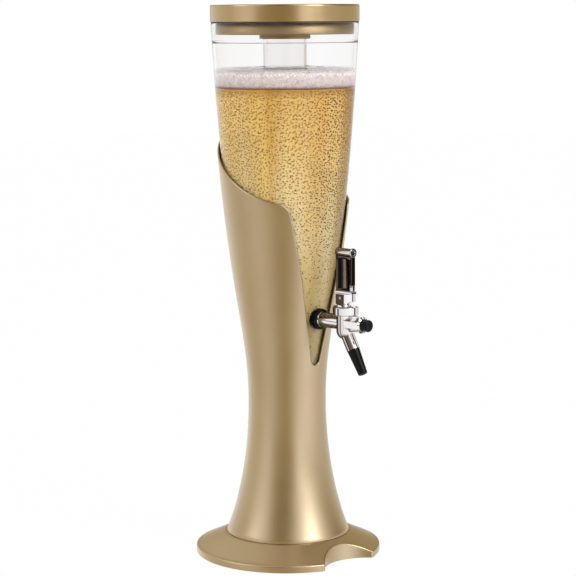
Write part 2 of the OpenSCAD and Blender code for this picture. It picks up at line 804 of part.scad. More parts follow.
module lever_neck() {
    back_z = neck_ridge_z + neck_r * tan(foam_tilt + tilt_relief);
    front_z = neck_ridge_z + neck_r * tan(pour_tilt + tilt_relief);
    color(CHROME) tap_frame() translate([body_u, 0, 0]) difference() {
        union() {
            sphere_at_ball();
            translate([0, 0, ball_z]) cylinder(h = neck_ridge_z - ball_z + 2, r = stem_r);
            translate([0, 0, ball_z - arm_l]) cylinder(h = arm_l, r = arm_r);
            translate([0, 0, ball_z - arm_l]) sphere(r = arm_tip_r, $fn = 48);
            intersection() {
                cylinder(h = neck_top_z, r = neck_r);
                rotate([90, 0, 0]) linear_extrude(height = neck_flats, center = true) polygon([
                    [0, neck_ridge_z], [neck_r, front_z], [neck_r + cut, front_z + cut],
                    [neck_r + cut, neck_top_z + cut], [-neck_r - cut, neck_top_z + cut],
                    [-neck_r - cut, back_z], [-neck_r, back_z]
                ]);
            }
        }
        translate([-slot_l / 2 - glue_gap, -slot_w / 2 - glue_gap, neck_top_z - slot_h])
            cube([slot_l + 2 * glue_gap, slot_w + 2 * glue_gap, slot_h + cut]);
        translate([0, 0, pin_z]) rotate([90, 0, 0])
            cylinder(h = 2 * neck_r + 2 * cut, r = pin_r + running_gap, center = true);
    }
}

module sphere_at_ball() {
    translate([0, 0, ball_z]) sphere(r = ball_r);
}

module lever_handle() {
    plate_l = blade_l + 1.2;
    plate_w = blade_t + 2;
    blade_z = neck_top_z + foot_plate_t;
    bar_l = blade_l + 0.3;
    color(DARK_CHROME) tap_frame() translate([body_u, 0, 0]) difference() {
        union() {
            translate([-slot_l / 2, -slot_w / 2, neck_top_z - slot_h + glue_gap])
                cube([slot_l, slot_w, slot_h]);
            translate([-plate_l / 2, -plate_w / 2, neck_top_z])
                cube([plate_l, plate_w, foot_plate_t]);
            translate([-blade_l / 2, -blade_t / 2, neck_top_z + cut])
                cube([blade_l, blade_t, bar_z - neck_top_z - cut]);
            translate([-bar_l / 2, 0, bar_z]) rotate([0, 90, 0]) cylinder(h = bar_l, r = bar_r);
            translate([bar_l / 2 - bar_disc_t, 0, bar_z]) rotate([0, 90, 0])
                cylinder(h = bar_disc_t, r = bar_disc_r);
        }
        for (side = [0, 1]) mirror([0, side, 0]) blade_panel(blade_z);
        translate([0, 0, pin_z]) rotate([90, 0, 0])
            cylinder(h = 2 * neck_r, r = pin_r + running_gap, center = true);
    }
}

// Sunk panel with an arched top in one side of the blade
module blade_panel(z_from) {
    border = 2;
    post = 3;
    panel_l = blade_l - border - post;
    panel_r = panel_l / 2;
    top_z = bar_z - bar_r - panel_r * 0.35;
    translate([-blade_l / 2 + border + panel_r, blade_t / 2 - panel_depth, 0])
        rotate([90, 0, 180]) linear_extrude(height = panel_depth + cut) intersection() {
            translate([-panel_r, z_from + cut]) square([panel_l, top_z - z_from]);
            translate([0, top_z - 1.35 * panel_r]) circle(r = 1.6 * panel_r);
        }
}

module lever_pin() {
    color(CHROME) tap_frame() translate([body_u, 0, pin_z]) rotate([90, 0, 0])
        cylinder(h = neck_flats - 0.4, r = pin_r, center = true);
}

// ---------------------------------------------------------------- piston

piston_front_u = barrel_u + piston_out;
piston_rear_u = body_u - piston_rear_l;
arm_slot = arm_tip_r + 0.2; // half width of the groove that the arm's tip works in
piston_ring_r = 0.9;
front_ring_u = body_u + 12;
rear_ring_u = body_u - 5.2;

module piston() {
    chamfer = 1;
    dimple_r = 2;
    dimple_d = 0.6;
    root_r = 2.2;
    groove_r = piston_r - 2 * piston_ring_r;
    color(BLACK) tap_frame() turned_x([
        [0, piston_rear_u],
        [piston_r - chamfer, piston_rear_u],
        [piston_r, piston_rear_u + chamfer],
        [piston_r, rear_ring_u - piston_ring_r],
        [groove_r, rear_ring_u - piston_ring_r],
        [groove_r, rear_ring_u + piston_ring_r],
        [piston_r, rear_ring_u + piston_ring_r],
        [piston_r, body_u - arm_slot],
        [root_r, body_u - arm_slot],
        [root_r, body_u + arm_slot],
        [piston_r, body_u + arm_slot],
        [piston_r, front_ring_u - piston_ring_r],
        [groove_r, front_ring_u - piston_ring_r],
        [groove_r, front_ring_u + piston_ring_r],
        [piston_r, front_ring_u + piston_ring_r],
        [piston_r, piston_front_u - chamfer],
        [piston_r - chamfer, piston_front_u],
        [dimple_r, piston_front_u],
        [dimple_r, piston_front_u - dimple_d],
        [0, piston_front_u - dimple_d]
    ]);
}

module piston_rings() {
    color(RUBBER) tap_frame() for (u = [rear_ring_u, front_ring_u])
        translate([u, 0, 0]) rotate([0, 90, 0]) rotate_extrude()
            translate([piston_r - piston_ring_r, 0]) circle(r = piston_ring_r - 0.02, $fn = 24);
}

// ---------------------------------------------------------------- lid and ice tube

lid_r = mouth_r - tank_inset + lid_over;
skirt_r = flare_r(tank_top_z) - tank_inset - tank_rim_wall - skirt_play;
skirt_bottom_z = mouth_z - skirt_h;
cap_under_z = tower_h - lid_wall;
liner_t = 2.2;
liner_z = cap_under_z - liner_t;
hub_bottom_z = skirt_bottom_z - hub_drop;
collar_r = hub_r - 2; // the hub's bore
collar_h = 14;
tube_seal_t = 2;
tube_top_z = liner_z - tube_seal_t;

module lid_cap() {
    dish_r = skirt_r - 6;
    dish_d = 0.8;
    edge = arc([lid_r - lid_edge_r, tower_h - lid_edge_r], lid_edge_r, 0, 90, 5);
    toe = arc([skirt_r - lid_edge_r, skirt_bottom_z + lid_edge_r], lid_edge_r, 0, -90, 5);
    color(GOLD) rotate_extrude() polygon(concat(
        [[0, cap_under_z], [0, tower_h - dish_d], [dish_r, tower_h - dish_d],
            [dish_r + dish_d, tower_h]],
        reversed(edge),
        [[lid_r, mouth_z], [skirt_r, mouth_z]],
        toe,
        [[skirt_r - lid_wall, skirt_bottom_z], [skirt_r - lid_wall, cap_under_z]]
    ));
}

// Plate under the cap, with the round hub that the ice tube screws into
module lid_liner() {
    plate_r = skirt_r - lid_wall - glue_gap;
    color(GOLD) difference() {
        union() {
            translate([0, 0, liner_z]) cylinder(h = liner_t, r = plate_r);
            translate([0, 0, hub_bottom_z]) cylinder(h = liner_z - hub_bottom_z + cut, r = hub_r);
            for (i = [0 : 7]) rotate([0, 0, i * 45 + 22.5])
                translate([hub_r - cut, -rib_t / 2, liner_z - 10])
                    cube([plate_r - hub_r, rib_t, 10 + cut]);
        }
        translate([0, 0, hub_bottom_z - cut])
            cylinder(h = liner_z - hub_bottom_z + cut, r = collar_r);
    }
}

module lid_seal() {
    seal_in_r = skirt_r + glue_gap;
    seal_out_r = flare_r(tank_top_z) - tank_inset;
    color(RUBBER) translate([0, 0, tank_top_z]) difference() {
        cylinder(h = seal_t, r = seal_out_r);
        translate([0, 0, -cut]) cylinder(h = seal_t + 2 * cut, r = seal_in_r);
    }
}

module ice_tube() {
    in_r = tube_r - tube_wall;
    ball_centre = [0, tube_bottom_z + tube_r];
    color(CLEAR) rotate_extrude() polygon(concat(
        arc(ball_centre, tube_r, -90, 0, 12),
        [[tube_r, tube_top_z], [in_r, tube_top_z]],
        arc(ball_centre, in_r, 0, -90, 12)
    ));
}

// Ring glued round the tube's top; it screws into the hub and shuts on the seal above it
module tube_collar() {
    collar_out_r = collar_r - glue_gap;
    color(CLEAR) translate([0, 0, tube_top_z - collar_h]) difference() {
        cylinder(h = collar_h, r = collar_out_r);
        translate([0, 0, -cut]) cylinder(h = collar_h + 2 * cut, r = tube_r + running_gap);
    }
}

module tube_seal() {
    color(RUBBER) translate([0, 0, tube_top_z]) difference() {
        cylinder(h = tube_seal_t, r = collar_r - glue_gap);
        translate([0, 0, -cut])
            cylinder(h = tube_seal_t + 2 * cut, r = tube_r - tube_wall);
    }
}

// ---------------------------------------------------------------- output

base_plate();
foot_ring();
base_screws();
column_shell();
tank_pad();
tank();
tap_flange();
inner_gasket();
shank_nut();
tap_shank();
tap_body();
bonnet_nut();
ball_ring();
spout_nozzle();
nozzle_ring();
lever_neck();
lever_handle();
lever_pin();
piston();
piston_rings();
lid_cap();
lid_liner();
lid_seal();
ice_tube();
tube_collar();
tube_seal();
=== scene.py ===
"""Looks of the beer tower dispenser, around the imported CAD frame.

Metres, Z up, origin under the middle of the base; the tap points along -Y.
The sizes below are those of the CAD part, in millimetres where MM follows them.
"""

import random
from math import acos, asin, atan, atan2, cos, degrees, hypot, pi, radians, sin, sqrt, tan, tau

import bmesh
import bpy
from mathutils import Matrix, Vector

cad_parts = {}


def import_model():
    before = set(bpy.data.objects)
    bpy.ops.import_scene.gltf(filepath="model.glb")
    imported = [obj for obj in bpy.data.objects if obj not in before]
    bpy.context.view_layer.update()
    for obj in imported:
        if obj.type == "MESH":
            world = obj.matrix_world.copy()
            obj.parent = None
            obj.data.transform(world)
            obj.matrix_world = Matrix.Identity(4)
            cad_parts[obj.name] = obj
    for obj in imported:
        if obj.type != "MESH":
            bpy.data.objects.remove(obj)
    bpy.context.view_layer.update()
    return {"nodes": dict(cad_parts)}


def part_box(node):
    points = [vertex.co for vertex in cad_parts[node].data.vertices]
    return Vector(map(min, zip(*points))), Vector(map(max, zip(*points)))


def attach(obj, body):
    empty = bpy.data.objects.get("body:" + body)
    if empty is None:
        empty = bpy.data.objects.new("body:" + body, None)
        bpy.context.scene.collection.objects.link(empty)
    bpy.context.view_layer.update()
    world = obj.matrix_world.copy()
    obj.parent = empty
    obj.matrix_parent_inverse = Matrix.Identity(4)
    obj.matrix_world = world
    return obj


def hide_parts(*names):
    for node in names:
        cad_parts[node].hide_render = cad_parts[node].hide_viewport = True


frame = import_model()
NODES = frame["nodes"]
SCENE = bpy.context.scene
MM = 0.001

# ---- sizes taken from the frame
BASE_LOW, BASE_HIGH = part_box("base_plate")
LID_LOW, LID_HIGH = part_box("lid_cap")
TANK_LOW, TANK_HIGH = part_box("tank")
TUBE_LOW, TUBE_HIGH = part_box("ice_tube")
TOWER_H = LID_HIGH.z

# Flare of the column as two cubic curves of (radius, height) that meet at the waist
DECK_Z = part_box("column_shell")[0].z
WAIST_R, WAIST_Z = 40.4 * MM, 162 * MM
FOOT_R = 64.5 * MM
MOUTH_R, MOUTH_Z = 78.9 * MM, LID_HIGH.z - 17 * MM
UPPER_H, LOWER_H = MOUTH_Z - WAIST_Z, WAIST_Z - DECK_Z
UPPER_FLARE = (
    (WAIST_R, WAIST_Z),
    (WAIST_R, WAIST_Z + 0.22 * UPPER_H),
    (MOUTH_R - 0.05 * 0.716 * UPPER_H, MOUTH_Z - 0.716 * UPPER_H),
    (MOUTH_R, MOUTH_Z),
)
LOWER_FLARE = (
    (FOOT_R, DECK_Z),
    (FOOT_R - 0.42 * 0.22 * LOWER_H, DECK_Z + 0.22 * LOWER_H),
    (WAIST_R, WAIST_Z - 0.42 * LOWER_H),
    (WAIST_R, WAIST_Z),
)
SHELL_WALL = 2.2 * MM
TANK_INSET = SHELL_WALL + 1.1 * MM
TANK_WALL = 3.2 * MM
TANK_RIM_WALL = 2 * MM
TANK_FLOOR = 4 * MM  # its thickness
TANK_FOOT_R = 2 * MM  # rounding at the tank's foot
LEDGE_Z = TANK_HIGH.z - 20 * MM
SHELF_Z = 184 * MM

# Front opening and rim of the column
TIP_Z, TIP_R = 203 * MM, 6.3 * MM
OPENING_LEAN = radians(12.9)
SHOULDER_R = 15 * MM
SHOULDER_TURN = radians(52)
RIM_FRONT_TURN = radians(40)  # where the rim starts to rise
RIM_FRONT_Z, RIM_BEND_Z, RIM_BACK_Z = 370 * MM, 384 * MM, 442 * MM

# Base
BASE_R = BASE_HIGH.x
BASE_BOTTOM_Z = BASE_LOW.z
BASE_RIM_H = 8.7 * MM
CONE_TOP_R = FOOT_R + 0.8 * MM
BASE_EDGE_R = 2 * MM
BASE_WALL = 2.5 * MM
DECK_EDGE_R = FOOT_R - 8 * MM  # where the base's skin ends under the column
NOTCH_R = 44 * MM
NOTCH_Y = FOOT_R + 8.5 * MM + NOTCH_R
NOTCH_CORNER_R = 2.5 * MM

# Tap
TAP_Z = 251.5 * MM
BOSS_R = 11 * MM

# Lid and ice tube
SKIRT_R = 70.65 * MM
LID_WALL = 2.4 * MM
LID_EDGE_R = 1.6 * MM
TUBE_R = 22 * MM
TUBE_WALL = 2 * MM
TUBE_ROUND_Z = TUBE_LOW.z + TUBE_R  # middle of the tube's round end

# Contents
BEER_TOP_Z = 486 * MM
FOAM_TOP_Z = 508 * MM
FOAM_FADE_Z = 501 * MM
HOLE_R = TUBE_R + 0.45 * MM  # hole that the ice tube leaves in them
WETTING = 0.12 * MM  # the liquid's skin lies this far in the wall, so that no air shows between

# Direction that the camera looks in, from +X toward +Y
VIEW_TURN = radians(45.97)

# ---- curves


def cubic(points, t):
    """(first, second) of a cubic curve of four points, at t."""
    k = ((1 - t) ** 3, 3 * t * (1 - t) ** 2, 3 * t * t * (1 - t), t**3)
    return tuple(sum(w * p[i] for w, p in zip(k, points)) for i in (0, 1))


def flare_r(z):
    """Outer radius of the column's flare at the height z."""
    curve = UPPER_FLARE if z > WAIST_Z else LOWER_FLARE
    low, high = 0.0, 1.0
    for _ in range(30):
        mid = (low + high) / 2
        if cubic(curve, mid)[1] < z:
            low = mid
        else:
            high = mid
    return cubic(curve, low)[0]


def flare_slope(z):
    """Change of the flare's radius with height."""
    step = 0.5 * MM
    top = min(z + step, MOUTH_Z)
    low = max(z - step, DECK_Z)
    return (flare_r(top) - flare_r(low)) / (top - low)


def flare_line(z_from, z_to, inset, steps):
    """Points (radius, height) of the flare between two heights, moved inward."""
    heights = [z_from + (z_to - z_from) * i / steps for i in range(steps + 1)]
    return [(flare_r(z) - inset, z) for z in heights]


def content_r(z):
    """Outer radius of the beer and the foam."""
    return flare_r(z) - TANK_INSET - TANK_WALL + WETTING


def arc(centre, radius, start, end, steps):
    """Points on an arc, with its angles in degrees."""
    angles = [radians(start + (end - start) * i / steps) for i in range(steps + 1)]
    return [
        (centre[0] + radius * cos(a), centre[1] + radius * sin(a))
        for a in angles
    ]


def filleted(outline, radii, steps):
    """A closed 2-D outline with each corner rounded, and a support point beside each arc."""
    out = []
    n = len(outline)
    for i in range(n):
        here, back, on = (Vector(outline[j % n]) for j in (i, i - 1, i + 1))
        r = radii[i]
        to_back, to_on = back - here, on - here
        angle = to_back.angle(to_on)
        if r <= 0:
            out.append(tuple(here))
            continue
        reach = min(r / tan(angle / 2), 0.4 * to_back.length, 0.4 * to_on.length)
        r = reach * tan(angle / 2)
        to_back.normalize()
        to_on.normalize()
        centre = here + (to_back + to_on).normalized() * r / sin(angle / 2)
        first = here + to_back * reach - centre
        last = here + to_on * reach - centre
        turn = first.angle_signed(last)
        out.append(tuple(here + to_back * reach * 1.2))
        for k in range(steps + 1):
            a = -turn * k / steps
            out.append(tuple(centre + Matrix.Rotation(a, 2) @ first))
        out.append(tuple(here + to_on * reach * 1.2))
    return out


# ---- mesh helpers


def new_object(name, data):
    """A new object in the scene."""
    obj = bpy.data.objects.new(name, data)
    SCENE.collection.objects.link(obj)
    return obj


def finished(work, mesh):
    """A new object with a bmesh written to its mesh."""
    work.to_mesh(mesh)
    work.free()
    return new_object(mesh.name, mesh)


def mesh_object(name, points, faces, smooth=True):
    mesh = bpy.data.meshes.new(name)
    mesh.from_pydata([tuple(p) for p in points], [], faces)
    work = bmesh.new()
    work.from_mesh(mesh)
    bmesh.ops.remove_doubles(work, verts=work.verts, dist=1e-7)
    bmesh.ops.recalc_face_normals(work, faces=work.faces)
    for face in work.faces:
        face.smooth = smooth
    return finished(work, mesh)


def grid_faces(rows, columns, closed):
    """Quads between rows of points that close on themselves; closed joins last row and first."""
    faces = []
    for i in range(rows if closed else rows - 1):
        for j in range(columns):
            a, b = i * columns, (i + 1) % rows * columns
            k = (j + 1) % columns
            faces.append((a + j, a + k, b + k, b + j))
    return faces


def lofted(name, rows, closed=True):
    """A skin through rows of points."""
    points = [p for row in rows for p in row]
    return mesh_object(name, points, grid_faces(len(rows), len(rows[0]), closed))


def revolved(name, outline, segments):
    """A turned piece round Z from (radius, height) points, open if it starts on the axis."""
    angles = [tau * j / segments for j in range(segments)]
    rows = [[(r * cos(a), r * sin(a), z) for a in angles] for r, z in outline]
    return lofted(name, rows, closed=outline[0][0] > 0.01 * MM)


def joined(name, objects):
    """One object that holds the meshes of several."""
    work = bmesh.new()
    for obj in objects:
        work.from_mesh(obj.data)
        bpy.data.objects.remove(obj)
    return finished(work, bpy.data.meshes.new(name))


def with_modifiers(obj):
    """Applies what modifiers an object has to its mesh."""
    graph = bpy.context.evaluated_depsgraph_get()
    mesh = bpy.data.meshes.new_from_object(obj.evaluated_get(graph))
    obj.modifiers.clear()
    obj.data = mesh
    return obj


def softened_copy(node, name, width):
    """A copy of a CAD node with its sharp edges rounded."""
    mesh = NODES[node].data.copy()
    mesh.name = name
    work = bmesh.new()
    work.from_mesh(mesh)
    bmesh.ops.remove_doubles(work, verts=work.verts, dist=2e-6)
    bmesh.ops.dissolve_degenerate(work, edges=work.edges, dist=2e-6)
    bmesh.ops.dissolve_limit(work, angle_limit=radians(0.6), verts=work.verts, edges=work.edges)
    for face in work.faces:
        face.smooth = True
    obj = finished(work, mesh)
    if mesh.has_custom_normals:
        mesh.attributes.remove(mesh.attributes["custom_normal"])
    bevel = obj.modifiers.new("edges", "BEVEL")
    bevel.width = width
    bevel.segments = 3
    bevel.limit_method = "ANGLE"
    bevel.angle_limit = radians(38)
    with_modifiers(obj)
    normals = obj.modifiers.new("normals", "WEIGHTED_NORMAL")
    normals.keep_sharp = True
    normals.weight = 80
    return obj


def place(obj, body, slot, material, replaces=()):
    """Dresses a piece, ties it to its body and hides the nodes that it stands for; its slot is not
    used.
    """
    obj.data.materials.clear()
    obj.data.materials.append(material)
    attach(obj, body)
    if replaces:
        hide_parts(*replaces)
    return obj


# ---- materials


class Net:
    """A node tree, with short calls to add and link nodes."""

    def __init__(self, owner):
        owner.use_nodes = True
        self.nodes = owner.node_tree.nodes
        self.links = owner.node_tree.links

    def put(self, socket, value):
        """Links a socket to another or to a node's first output, or sets its value."""
        if isinstance(value, bpy.types.Node):
            value = value.outputs[0]
        if isinstance(value, bpy.types.NodeSocket):
            self.links.new(value, socket)
        else:
            socket.default_value = value

    def add(self, kind, **values):
        """A new node; each value goes to the input of its name, or else to the setting."""
        node = self.nodes.new("ShaderNode" + kind)
        for key, value in values.items():
            name = key.replace("_", " ")
            if name in node.inputs:
                self.put(node.inputs[name], value)
            else:
                setattr(node, key, value)
        return node

    def split(self, vector):
        """X, Y and Z of a vector."""
        return self.add("SeparateXYZ", Vector=vector).outputs

    def turn(self, vector):
        """Share of a full turn round Z, 0.5 on the camera's side and rising toward the tap's."""
        back = (0, 0, -(VIEW_TURN + pi))
        x, y, z = self.split(self.add("Mapping", Vector=vector, Rotation=back))
        return self.span(self.math("ARCTAN2", y, x), 0.0, 1.0, -pi, pi), z

    def round_ramp(self, share, table):
        """Tones by the turn's share, from a table by degrees."""
        return self.ramp(share, [((angle + 180) / 360, tone) for angle, tone in table.items()])

    def mix(self, share, a, b, blend="MIX"):
        """Colours a and b, blended by a share."""
        node = self.add("Mix", data_type="RGBA", blend_type=blend, Factor=share, A=a, B=b)
        return node.outputs["Result"]

    def times(self, a, b, factor=1.0):
        """Product of two colours."""
        return self.mix(factor, a, b, "MULTIPLY")

    def math(self, operation, first, second=0.0):
        """Result of a sum on two values, each a socket or a number."""
        node = self.add("Math", operation=operation)
        self.put(node.inputs[0], first)
        self.put(node.inputs[1], second)
        return node.outputs["Value"]

    def mixed_shaders(self, share, first, second):
        node = self.add("MixShader", Fac=share)
        self.put(node.inputs[1], first)
        self.put(node.inputs[2], second)
        return node

    def noise(self, scale, detail=3.0, roughness=0.5, stretch=(1, 1, 1)):
        """Noise between 0 and 1 whose bumps are about 1 / scale metres wide."""
        place = self.add("Mapping", Scale=stretch, Vector=self.place)
        return self.add(
            "TexNoise", Scale=scale, Detail=detail, Roughness=roughness, Vector=place
        ).outputs["Fac"]

    def ramp(self, source, stops):
        """A ramp of (place, colour or brightness) stops."""
        node = self.add("ValToRGB", Fac=source)
        elements = node.color_ramp.elements
        while len(elements) < len(stops):
            elements.new(0.5)
        for element, (at, tone) in zip(elements, stops):
            element.position = at
            element.color = (*(tone if isinstance(tone, tuple) else (tone,) * 3), 1.0)
        return node.outputs["Color"]

    def span(self, source, low, high, from_low=0.3, from_high=0.7):
        """source spread over a new range."""
        return self.add(
            "MapRange", Value=source, From_Min=from_low, From_Max=from_high,
            To_Min=low, To_Max=high,
        ).outputs["Result"]


class Tree(Net):
    """A material's nodes, around its Principled shader."""

    def __init__(self, name):
        self.material = bpy.data.materials.new(name)
        super().__init__(self.material)
        self.shader = self.nodes["Principled BSDF"]
        self.place = self.add("TexCoord").outputs["Object"]

    def set(self, **values):
        """Feeds the shader's inputs."""
        for key, value in values.items():
            self.put(self.shader.inputs[key.replace("_", " ")], value)

    def end(self, **values):
        """Feeds the material's output."""
        for key, value in values.items():
            self.put(self.nodes["Material Output"].inputs[key], value)

    def bump(self, source, strength, distance):
        self.set(Normal=self.add("Bump", Strength=strength, Distance=distance, Height=source))

    def clear(self, colour=(1, 1, 1, 1)):
        return self.add("BsdfTransparent", Color=colour)

    def path(self):
        return self.add("LightPath").outputs

    def clear_to_lamps(self, colour):
        """Lets lamp light through to what is behind this surface."""
        shadow = self.path()["Is Shadow Ray"]
        self.end(Surface=self.mixed_shaders(shadow, self.shader, self.clear(colour)))


def mixed(a, b, t):
    return tuple(x + (y - x) * t for x, y in zip(a, b))


# Painted shade: what is left of the gold's tone where polished chrome mirrors it
GOLD_MIRROR_PAINTED_SHADE = (0.3, 0.25, 0.2)


def gold(name, colour, dark, roughness, flake):
    """Metallic lacquer: fine flake, a faint cloudiness and a slightly uneven gloss, with a painted
    shade that darkens it where polished chrome mirrors it.
    """
    t = Tree(name)
    fine = t.noise(2600, 2)
    base = t.ramp(t.noise(14, 4), [(0.3, mixed(colour, dark, 0.35)), (0.7, colour)])
    speck = t.ramp(fine, [(0.35, 1 - flake), (0.65, 1.0)])
    # Painted shade: the gold is darker on rays that a polished mirror-like face sends on
    path = t.path()
    mirrored = t.math("MULTIPLY", path["Is Singular Ray"], path["Is Reflection Ray"])
    shade = t.ramp(mirrored, [(0.0, 1.0), (1.0, GOLD_MIRROR_PAINTED_SHADE)])
    t.bump(fine, 0.03, 0.1 * MM)
    t.set(
        Base_Color=t.times(t.times(base, speck), shade),
        Roughness=t.span(t.noise(40), roughness - 0.03, roughness + 0.03),
        Metallic=0.92,
        Specular_IOR_Level=0.5,
    )
    return t.material


def chrome(name, colour, roughness=0.0, painted_reflection=None):
    """Plated metal with faint smears; painted_reflection gives the stops of a painted reflection, a
    tone by how nearly a face looks along X.
    """
    t = Tree(name)
    smear = t.noise(90, 4, 0.6)
    tone = t.ramp(smear, [(0.3, mixed(colour, (0, 0, 0), 0.08)), (0.7, colour)])
    if painted_reflection:
        # Painted reflection: tone by how nearly a face looks along X
        facing = t.math("ABSOLUTE", t.split(t.add("TexCoord").outputs["Normal"])["X"])
        tone = t.times(tone, t.ramp(t.span(facing, 0.0, 1.0, 0.9, 1.0), painted_reflection))
    if roughness:
        roughness = t.span(smear, roughness * 0.7, roughness * 1.5)
        t.bump(t.noise(500, 2, 0.5, (1, 1, 0.2)), 0.02, 0.05 * MM)
    else:
        t.bump(t.noise(130, 1), 0.012, 0.3 * MM)
    t.set(Base_Color=tone, Roughness=roughness, Metallic=1.0)
    return t.material


def moulded(name, colour, roughness, grain=1400, relief=0.06, shine=0.5):
    """Plain moulded plastic or rubber with a fine grain."""
    t = Tree(name)
    cloud = t.noise(60)
    lighter = mixed(colour, (1, 1, 1), 0.06 * shine)
    t.bump(t.noise(grain, 2), relief, 0.1 * MM)
    t.set(
        Base_Color=t.ramp(cloud, [(0.3, colour), (0.7, lighter)]),
        Roughness=t.span(cloud, roughness - 0.04, roughness + 0.06),
        Specular_IOR_Level=shine,
    )
    return t.material


def clear_plastic(name, colour, ior):
    """Polished clear plastic with the faintest ripple."""
    t = Tree(name)
    ripple = t.noise(30, 2, 0.5, (1, 1, 0.3))
    t.set(
        Base_Color=t.ramp(ripple, [(0.3, mixed(colour, (0.9,) * 3, 0.15)), (0.7, colour)]),
        Roughness=t.span(ripple, 0.01, 0.04),
        Transmission_Weight=1.0,
        IOR=ior,
    )
    t.clear_to_lamps((0.55, 0.55, 0.55, 1))
    return t.material


# Beer's colour from the tank's floor up to the foam
BEER_TONES = [
    (0.0, (0.9, 0.8, 0.48)), (0.2, (0.92, 0.82, 0.48)), (0.34, (0.94, 0.82, 0.5)),
    (0.5, (0.97, 0.85, 0.54)), (0.66, (0.95, 0.79, 0.43)), (0.82, (0.92, 0.7, 0.32)),
    (0.97, (0.9, 0.65, 0.26)), (1.0, (0.55, 0.32, 0.1)),
]

# Foam's colour from the beer to its top
FOAM_TONES = [
    (0.0, (0.24, 0.12, 0.04)), (0.06, (0.36, 0.25, 0.18)), (0.14, (0.58, 0.5, 0.48)),
    (0.6, (0.76, 0.69, 0.67)), (1.0, (0.98, 0.95, 0.96)),
]

# Painted light and shade: upright streaks that the tube and the room would draw in the beer, painted
# round the tank
BEER_PAINTED_STREAKS = {
    -180: 1.0, -150: (0.94, 0.86, 0.72), -120: 1.0, -90: (0.85, 0.78, 0.7), -70: 1.0,
    -42: (0.95, 0.93, 0.9), -33: (0.93, 0.86, 0.72), -22: (1.0, 0.95, 0.8), -19: (1.0, 0.96, 0.82),
    -15: (0.88, 0.78, 0.58), -5: (0.9, 0.86, 0.78), 1: 1.0, 12: 1.0, 17: (0.97, 0.92, 0.85),
    22: (0.93, 0.84, 0.66), 34: (0.86, 0.76, 0.58), 46: (0.86, 0.8, 0.68), 54: (0.84, 0.78, 0.68),
    62: (0.62, 0.54, 0.42), 75: (0.48, 0.38, 0.26), 95: (0.8, 0.72, 0.6), 120: (1.0, 0.97, 0.92),
    150: (0.92, 0.84, 0.7), 180: 1.0,
}

# Painted shade: what is left of the beer's tone where glossy faces, the polished chrome among them,
# mirror it
BEER_MIRROR_PAINTED_SHADE = (0.2, 0.16, 0.13)


def beer_material():
    """Golden liquid, bright with haze and fine bubbles, deeper in tone toward the foam, with painted
    light and shade in upright streaks round the tank and a painted shade where glossy faces mirror it.
    """
    t = Tree("beer")
    haze = t.noise(46, 3, 0.5, (1, 1, 0.1))
    tone = t.ramp(t.span(t.split(t.place)["Z"], 0.0, 1.0, TANK_LOW.z, BEER_TOP_Z), BEER_TONES)
    veil = t.ramp(haze, [(0.3, (0.97, 0.88, 0.66)), (0.5, (0.99, 0.95, 0.88)), (0.7, 1.0)])
    # Painted shade: the beer is darker on rays that a glossy face sends on
    mirrored = t.math("GREATER_THAN", t.path()["Glossy Depth"], 0.5)
    # Painted light and shade: upright streaks by the turn round the tank
    painted_streaks = t.round_ramp(t.turn(t.place)[0], BEER_PAINTED_STREAKS)
    painted_streaks = t.times(painted_streaks, t.ramp(mirrored, [(0.0, 1.0), (1.0, BEER_MIRROR_PAINTED_SHADE)]))
    t.set(
        Base_Color=t.times(t.times(tone, veil), painted_streaks),
        Roughness=t.span(haze, 0.02, 0.08),
        Transmission_Weight=0.4,
        IOR=1.2,
        Specular_IOR_Level=0.3,
    )
    t.clear_to_lamps((0.95, 0.85, 0.6, 1))
    t.end(Volume=t.add("VolumeAbsorption", Color=(0.9, 0.67, 0.0, 1), Density=3.0))
    return t.material


def foam_material():
    """Settled foam: fine bubbles that gather toward the liquid."""
    t = Tree("foam")
    cells = t.add("TexVoronoi", Scale=850.0, feature="F1", Vector=t.place)
    cells = cells.outputs["Distance"]
    z = t.split(t.place)["Z"]
    tone = t.ramp(t.span(z, 0.0, 1.0, BEER_TOP_Z, FOAM_TOP_Z), FOAM_TONES)
    spots = t.ramp(cells, [(0.1, 1.0), (0.6, (0.62, 0.57, 0.56))])
    t.bump(cells, 0.3, 0.5 * MM)
    t.set(Base_Color=t.times(tone, spots, 0.8), Roughness=t.span(cells, 0.45, 0.7, 0, 1))
    fade = t.span(z, 1.0, 0.0, FOAM_FADE_Z, FOAM_TOP_Z - 1 * MM)
    film = t.math("MULTIPLY", t.span(t.noise(240, 2), 0.75, 1.25), fade)
    t.end(Surface=t.mixed_shaders(film, t.clear(), t.shader))
    return t.material


# Painted shade on the bubbles, by their turn round the tank
BUBBLE_PAINTED_SHADE = {
    -180: 1.0, -75: 0.8, -45: 1.0, 20: 1.0, 36: (0.48, 0.36, 0.25), 90: (0.28, 0.2, 0.14), 150: 1.0,
    180: 1.0,
}


def bubble_material():
    t = Tree("bubble_brown")
    tone = t.ramp(t.noise(300, 2), [(0.3, (0.24, 0.12, 0.02)), (0.7, (0.42, 0.24, 0.05))])
    t.set(
        # Painted shade: the bubbles' tone darkened at some turns round the tank
        Base_Color=t.times(tone, t.round_ramp(t.turn(t.place)[0], BUBBLE_PAINTED_SHADE)),
        Roughness=t.span(tone, 0.5, 0.7),
        Specular_IOR_Level=0.1,
    )
    return t.material


def froth_material():
    t = Tree("froth_white")
    tone = t.noise(400, 2)
    t.set(
        Base_Color=t.ramp(tone, [(0.3, (0.8, 0.78, 0.78)), (0.7, (0.95, 0.94, 0.94))]),
        Roughness=t.span(tone, 0.15, 0.35),
        Specular_IOR_Level=0.6,
    )
    return t.material


